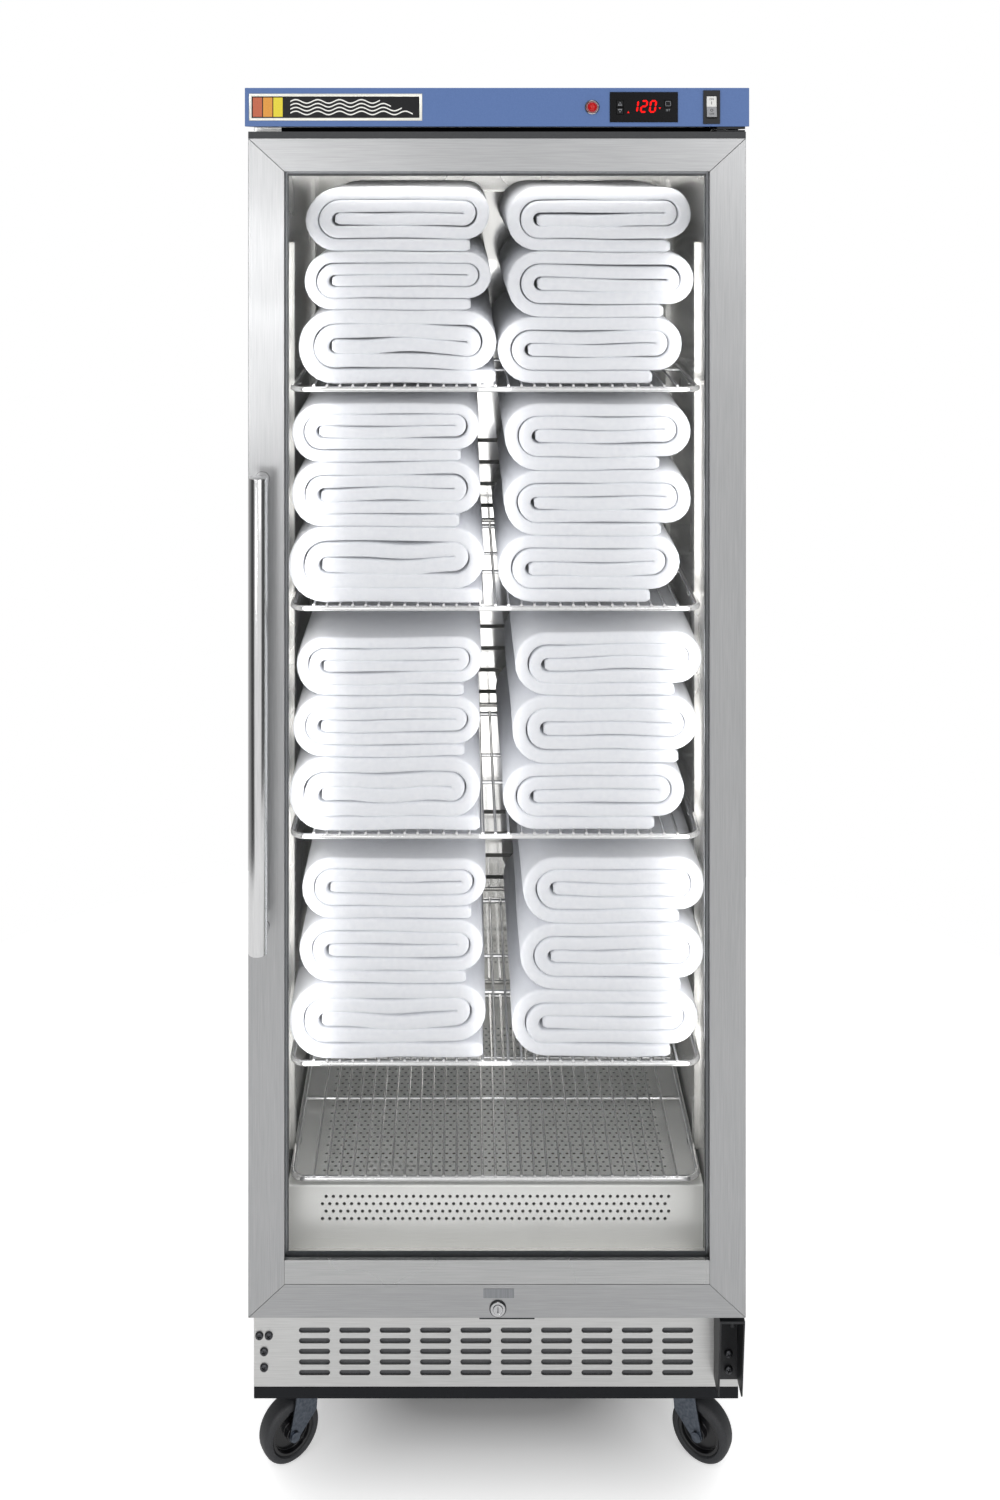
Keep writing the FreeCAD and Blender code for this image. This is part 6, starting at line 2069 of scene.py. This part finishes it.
@dataclass
class Load:
    """The folded blankets on the four upper shelves, two stacks of three on each."""

    fold: FoldedBlanket = field(default_factory=FoldedBlanket)
    flat_width: float = 382.0 * MM
    gap: float = 0.3 * MM
    swells: Triple = (2.4 * MM, 2.4 * MM, 1.6 * MM)
    loose: float = 3.0 * MM
    loose_lowest: float = 7.5 * MM
    swell_scale: Point = (9.0, 6.0)
    shelf_seed: float = 17.0
    right_seed: float = 5.0
    blanket_seeds: Point = (3.1, 1.7)
    stacks: dict[tuple[int, str], Stack] = field(default_factory=lambda: {
        (1, "left"): Stack(((-245, 1), (-238, -6), (-236, -7)), (91, 73, 80), (0, 2, 4), (-8, 18, 17)),
        (1, "right"): Stack(((3, 232), (14, 246), (14, 243)), (82, 82, 80), (1, 0, 3), (30, 30, 18)),
        (2, "left"): Stack(((-258, -14), (-254, -19), (-254, -20)), (94, 80, 74), (0, 1, 5), (-7, 18, 16)),
        (2, "right"): Stack(((3, 229), (11, 244), (11, 243)), (83, 81, 83), (2, 0, 3), (29, 31, 31)),
        (3, "left"): Stack(((-257, -19), (-252, -19), (-248, -17)), (90, 76, 73), (0, 3, 4), (-8, 12, 15)),
        (3, "right"): Stack(((9, 235), (21, 252), (24, 256)), (83, 84, 80), (2, 1, 0), (30, 16, 26)),
        (4, "left"): Stack(((-257, -12), (-244, -15), (-241, -12)), (91, 80, 76), (0, 2, 3), (-5, 14, 10)),
        (4, "right"): Stack(((20, 251), (31, 259), (34, 260)), (83, 83, 82), (1, 0, 2), (26, 22, 24)),
    })

    def build(self) -> None:
        """Make every stack."""
        for (number, hand), stack in self.stacks.items():
            self.stack(number, hand, stack)

    def stack(self, number: int, hand: str, stack: Stack) -> None:
        """Make three blankets, each lying on the one below it.

        Args:
            number: The shelf's number.
            hand: Left or right.
            stack: Its sides and heights.
        """
        node = f"blankets_shelf_{number}"
        box = Block.of(node)
        wire_top = Block.of(f"shelf_{number}").high.z
        below: Any = f"wire_shelf_{number}"
        level = max(box.low.z, wire_top + self.gap)
        seed = number * self.shelf_seed + (self.right_seed if hand == "right" else 0.0)
        top_seed, fold_seed = self.blanket_seeds
        surface = self.surface(level, 0.0, seed)
        words = ("lower", "middle", "upper")
        for i, ((left, right), height, front) in enumerate(zip(stack.sides, stack.heights, stack.fronts)):
            level += height * MM
            top = self.surface(level, self.swells[i], seed + i * top_seed)
            loose = self.loose_lowest if i == 0 and hand == "left" else self.loose
            flap = stack.flaps[i] * MM
            name = f"blanket_{number}_{hand}_{words[i]}"
            mesh, length = self.fold.mesh(
                name, left * MM, (right - left) * MM, height * MM, box.low.y + front * MM, box.high.y,
                surface, self.lowered(top), flap, loose, seed + i * fold_seed)
            piece = deliver(name, mesh, "cabinet", "blanket_fleece", node, finish=BLANKET)
            below, surface = piece, top

    def lowered(self, surface: Callable[[float, float], float]) -> Callable[[float, float], float]:
        """The same surface, lower by the gap between two blankets."""
        return lambda x, y: surface(x, y) - self.gap

    def surface(self, level: float, swell: float, seed: float) -> Callable[[float, float], float]:
        """A nearly level surface with gentle swells."""
        across, deep = self.swell_scale
        return lambda x, y: level + swell * noise.noise(Vector((x * across, y * deep, seed)))


# ---------------------------------------------------------------------------------------------------
# Hinges, strike and casters
# ---------------------------------------------------------------------------------------------------

@dataclass
class Hardware:
    """Hinge brackets and the lock's strike."""

    def build(self) -> None:
        """Dress the brackets and the strike."""
        refine("hinge_brackets", "cabinet", "black_bracket", BRACKET_PAINT, 0.5 * MM)
        refine("strike_plate", "cabinet", "black_bracket", BRACKET_PAINT, 0.4 * MM)


@dataclass
class Casters:
    """Four swivel casters: plates and races, forks, hubs and tyres."""

    radius: float = 37.5 * MM
    width: float = 25.0 * MM
    hub: float = 27.0 * MM
    shoulder: float = 7.0 * MM
    crown: float = 0.4 * MM
    bead: Point = (1.0 * MM, 1.5 * MM)

    def build(self) -> None:
        """Make and dress the casters."""
        refine("caster_plates", "cabinet", "galvanised", PLAIN_ZINC, 0.4 * MM)
        joints = {joint["child"]: joint for joint in frame["joints"]}
        for corner in ("front_left", "front_right", "rear_left", "rear_right"):
            refine(f"fork_{corner}", f"fork_{corner}", "caster_steel", CASTER_STEEL, 0.5 * MM, 2)
            refine(f"hub_{corner}", f"wheel_{corner}", "hub_black", HUB, 0.9 * MM, 3)
            joint = joints[f"wheel_{corner}"]
            place = facing(Vector(joint["axis"]), Vector(joint["pos_m"]))
            deliver(f"rolled_tyre_{corner}", self.tyre(place), f"wheel_{corner}", "tyre_rubber",
                    f"tyre_{corner}", finish=TYRE)

    def tyre(self, place: Matrix) -> bpy.types.Mesh:
        """A tyre with rounded shoulders and a shallow crown.

        Args:
            place: Where the wheel's axle is.

        Returns:
            The mesh.
        """
        half, r, s = self.width / 2, self.radius, self.shoulder
        reach = r - self.crown - s
        left, right = arc((reach, -half + s), s, -90, 0, 7), arc((reach, half - s), s, 0, 90, 7)
        bead, rise = self.bead
        profile = [(self.hub, -half + rise), (self.hub + bead, -half)] + left + [(r, 0.0)] + right
        profile += [(self.hub + bead, half), (self.hub, half - rise), (self.hub, -half + rise)]
        return shaded(lathed(profile, 72, place))


# ---------------------------------------------------------------------------------------------------
# Studio
# ---------------------------------------------------------------------------------------------------

@dataclass(frozen=True)
class Softbox:
    """A large soft lamp: its place, width, height and power, and the point it faces."""

    place: Triple
    width: float
    height: float
    power: float
    target: Triple = (0.0, 0.0, 0.9)


@dataclass
class Studio:
    """A plain pale floor, soft light and the camera."""

    eye: Triple = (-0.0416, -2.0225, 1.6345)
    lens: float = 35.52
    shift: Point = (0.0253, -0.405)
    sensor: float = 36.0
    floor_radius: float = 1.4
    floor_sides: int = 120
    floor_blend: float = 0.1
    mirrored_glow: float = 0.4
    floor_colour: float = 0.84
    # glow far from the cabinet and none over its footprint, which partly paints its shadow
    floor_glow: Point = (0.0, 0.55)
    glow_reach: Point = (0.12, 0.29)
    sky: float = 0.82
    surround: tuple[Point, ...] = (
        (-180, 0.75), (-105, 0.4), (-70, 0.06), (-40, 0.07), (-30, 1.0), (45, 1.0), (56, 0.08), (84, 0.08),
        (100, 0.2), (120, 0.3), (180, 0.75),
    )
    lamps: tuple[Softbox, ...] = (
        Softbox((-0.82, -3.1, 1.18), 0.45, 0.6, 7.6),
        Softbox((1.5, -3.3, 2.2), 1.4, 1.4, 17.0),
        Softbox((-1.7, -2.9, 2.7), 1.4, 1.0, 12.0),
        Softbox((0.0, 2.6, 3.2), 2.0, 2.0, 16.0),
        Softbox((0.0, -0.203, 1.594), 0.48, 0.012, 0.15, (0.0, 0.25, 1.72)),
        Softbox((-0.236, -0.206, 0.95), 0.02, 1.1, 0.28, (-0.12, 0.2, 0.95)),
        Softbox((0.24, -0.206, 0.95), 0.02, 1.1, 0.28, (0.12, 0.2, 0.95)),
        Softbox((0.0, -0.204, 0.92), 0.04, 1.0, 0.16, (0.004, 0.2, 0.92)),
        Softbox((0.0, -0.216, 0.305), 0.5, 0.06, 0.05, (0.0, 0.2, 0.305)),
    )

    def build(self) -> None:
        """Set the stage."""
        self.camera()
        self.floor()
        self.world()
        for lamp in self.lamps:
            self.light(lamp)
        bpy.context.scene.view_settings.view_transform = "Standard"

    def camera(self) -> None:
        """A level camera in front of the door's upper half."""
        data = bpy.data.cameras.new("camera")
        data.lens = self.lens
        data.sensor_width = self.sensor
        data.shift_x, data.shift_y = self.shift
        holder = shown("camera", data)
        holder.location = self.eye
        holder.rotation_euler = (QUARTER, 0.0, 0.0)
        bpy.context.scene.camera = holder

    def floor(self) -> None:
        """A round pale floor, white but for the cabinet's shadow, which is partly real and partly painted by
        leaving out the glow over the cabinet's footprint.
        """
        mesh = bpy.data.meshes.new("floor")
        sides = self.floor_sides
        rim = [(*p, 0.0) for p in arc((0.0, 0.0), self.floor_radius, 0, 360 - 360 / sides, sides - 1)]
        mesh.from_pydata(rim, [], [list(range(len(rim)))])
        tree = ShaderTree("pale_floor")
        size = tree.add("ShaderNodeVectorMath", {0: tree.place(1.0)}, operation="ABSOLUTE")
        parts = tree.add("ShaderNodeSeparateXYZ", {0: size.outputs[0]})
        # painted shadow: the glow fades to nothing over a square round the cabinet's footprint, darkening the
        # floor there beyond its real shadow
        away = tree.sum("SMOOTH_MAX", parts.outputs["X"], parts.outputs["Y"], self.floor_blend)
        strength = tree.between(away, *self.floor_glow, *self.glow_reach)
        glow = tree.sum("MULTIPLY", strength, self.seen(tree, self.mirrored_glow))
        tree.set(Base_Color=self.grey(self.floor_colour), Roughness=1.0, Specular_IOR_Level=0.0,
                 Emission_Color=self.grey(1.0), Emission_Strength=glow)
        mesh.materials.append(tree.material)
        shown("floor", mesh)

    def grey(self, value: float) -> tuple[float, float, float, float]:
        """A grey of a brightness."""
        return (value, value, value, 1.0)

    def seen(self, tree: Tree, mirrored: float = 0.0) -> bpy.types.NodeSocket:
        """One for rays from the camera and through glass, and a share of that for what metal mirrors.

        Args:
            tree: The tree to add to.
            mirrored: The share in metal.

        Returns:
            The socket that carries it.
        """
        path = tree.add("ShaderNodeLightPath").outputs
        total = tree.sum("MULTIPLY", path["Is Glossy Ray"], mirrored)
        for name in ("Is Camera Ray", "Is Transmission Ray"):
            total = tree.sum("MAXIMUM", total, path[name])
        return total

    def world(self) -> None:
        """White where it is seen, softer as light, and with dim sides where metal mirrors it."""
        world = bpy.data.worlds.new("studio")
        bpy.context.scene.world = world
        world.use_nodes = True
        tree = Tree(world.node_tree)
        tree.tree.nodes.clear()
        where = tree.add("ShaderNodeTexCoord").outputs["Generated"]
        parts = tree.add("ShaderNodeSeparateXYZ", {0: where}).outputs
        turn = tree.sum("ARCTAN2", parts["X"], tree.sum("MULTIPLY", parts["Y"], -1.0))
        around = tree.add("ShaderNodeMapRange", {"Value": turn, "From Min": -math.pi, "From Max": math.pi})
        ramp = tree.add("ShaderNodeValToRGB", {"Fac": around.outputs[0]})
        for degrees, _ in self.surround[1:-1]:
            ramp.color_ramp.elements.new(degrees / 360 + 0.5)
        for element, (degrees, value) in zip(ramp.color_ramp.elements, self.surround):
            element.position, element.color = degrees / 360 + 0.5, self.grey(value)
        mirrored = tree.add("ShaderNodeLightPath").outputs["Is Glossy Ray"]
        light = self.choose(tree, mirrored, self.grey(self.sky), ramp.outputs["Color"])
        whole = self.choose(tree, self.seen(tree), light, self.grey(1.0))
        background = tree.add("ShaderNodeBackground", {"Color": whole})
        tree.add("ShaderNodeOutputWorld", {"Surface": background.outputs[0]})

    def choose(self, tree: Tree, factor: bpy.types.NodeSocket, off: Any, on: Any) -> bpy.types.NodeSocket:
        """One colour where the factor is zero and another where it is one.

        Args:
            tree: The tree to add to.
            factor: The choice.
            off: The first colour.
            on: The second colour.

        Returns:
            The colour.
        """
        mix = tree.add("ShaderNodeMix", {"Factor": factor}, data_type="RGBA")
        return tree.fill(mix, {6: off, 7: on}).outputs[2]

    def light(self, lamp: Softbox) -> None:
        """One large soft lamp.

        Args:
            lamp: The lamp.
        """
        data = bpy.data.lights.new("softbox", "AREA")
        data.shape = "RECTANGLE"
        data.size, data.size_y = lamp.width, lamp.height
        data.energy = lamp.power
        holder = shown("softbox", data)
        holder.location = lamp.place
        aim = Vector(lamp.target) - Vector(lamp.place)
        holder.rotation_euler = aim.to_track_quat("-Z", "Y").to_euler()


def main() -> None:
    """Build the cabinet's looks, sub-assembly by sub-assembly, and then the studio."""
    logging.basicConfig(level=logging.INFO, format="%(name)s: %(message)s")
    copier = Copier()
    for assembly in (InsulatedBox(copier), ControlPanel(), Door(), Hardware(), Chamber(copier), Load(),
                     Casters(), Studio()):
        assembly.build()


if __name__ == "__main__":
    main()
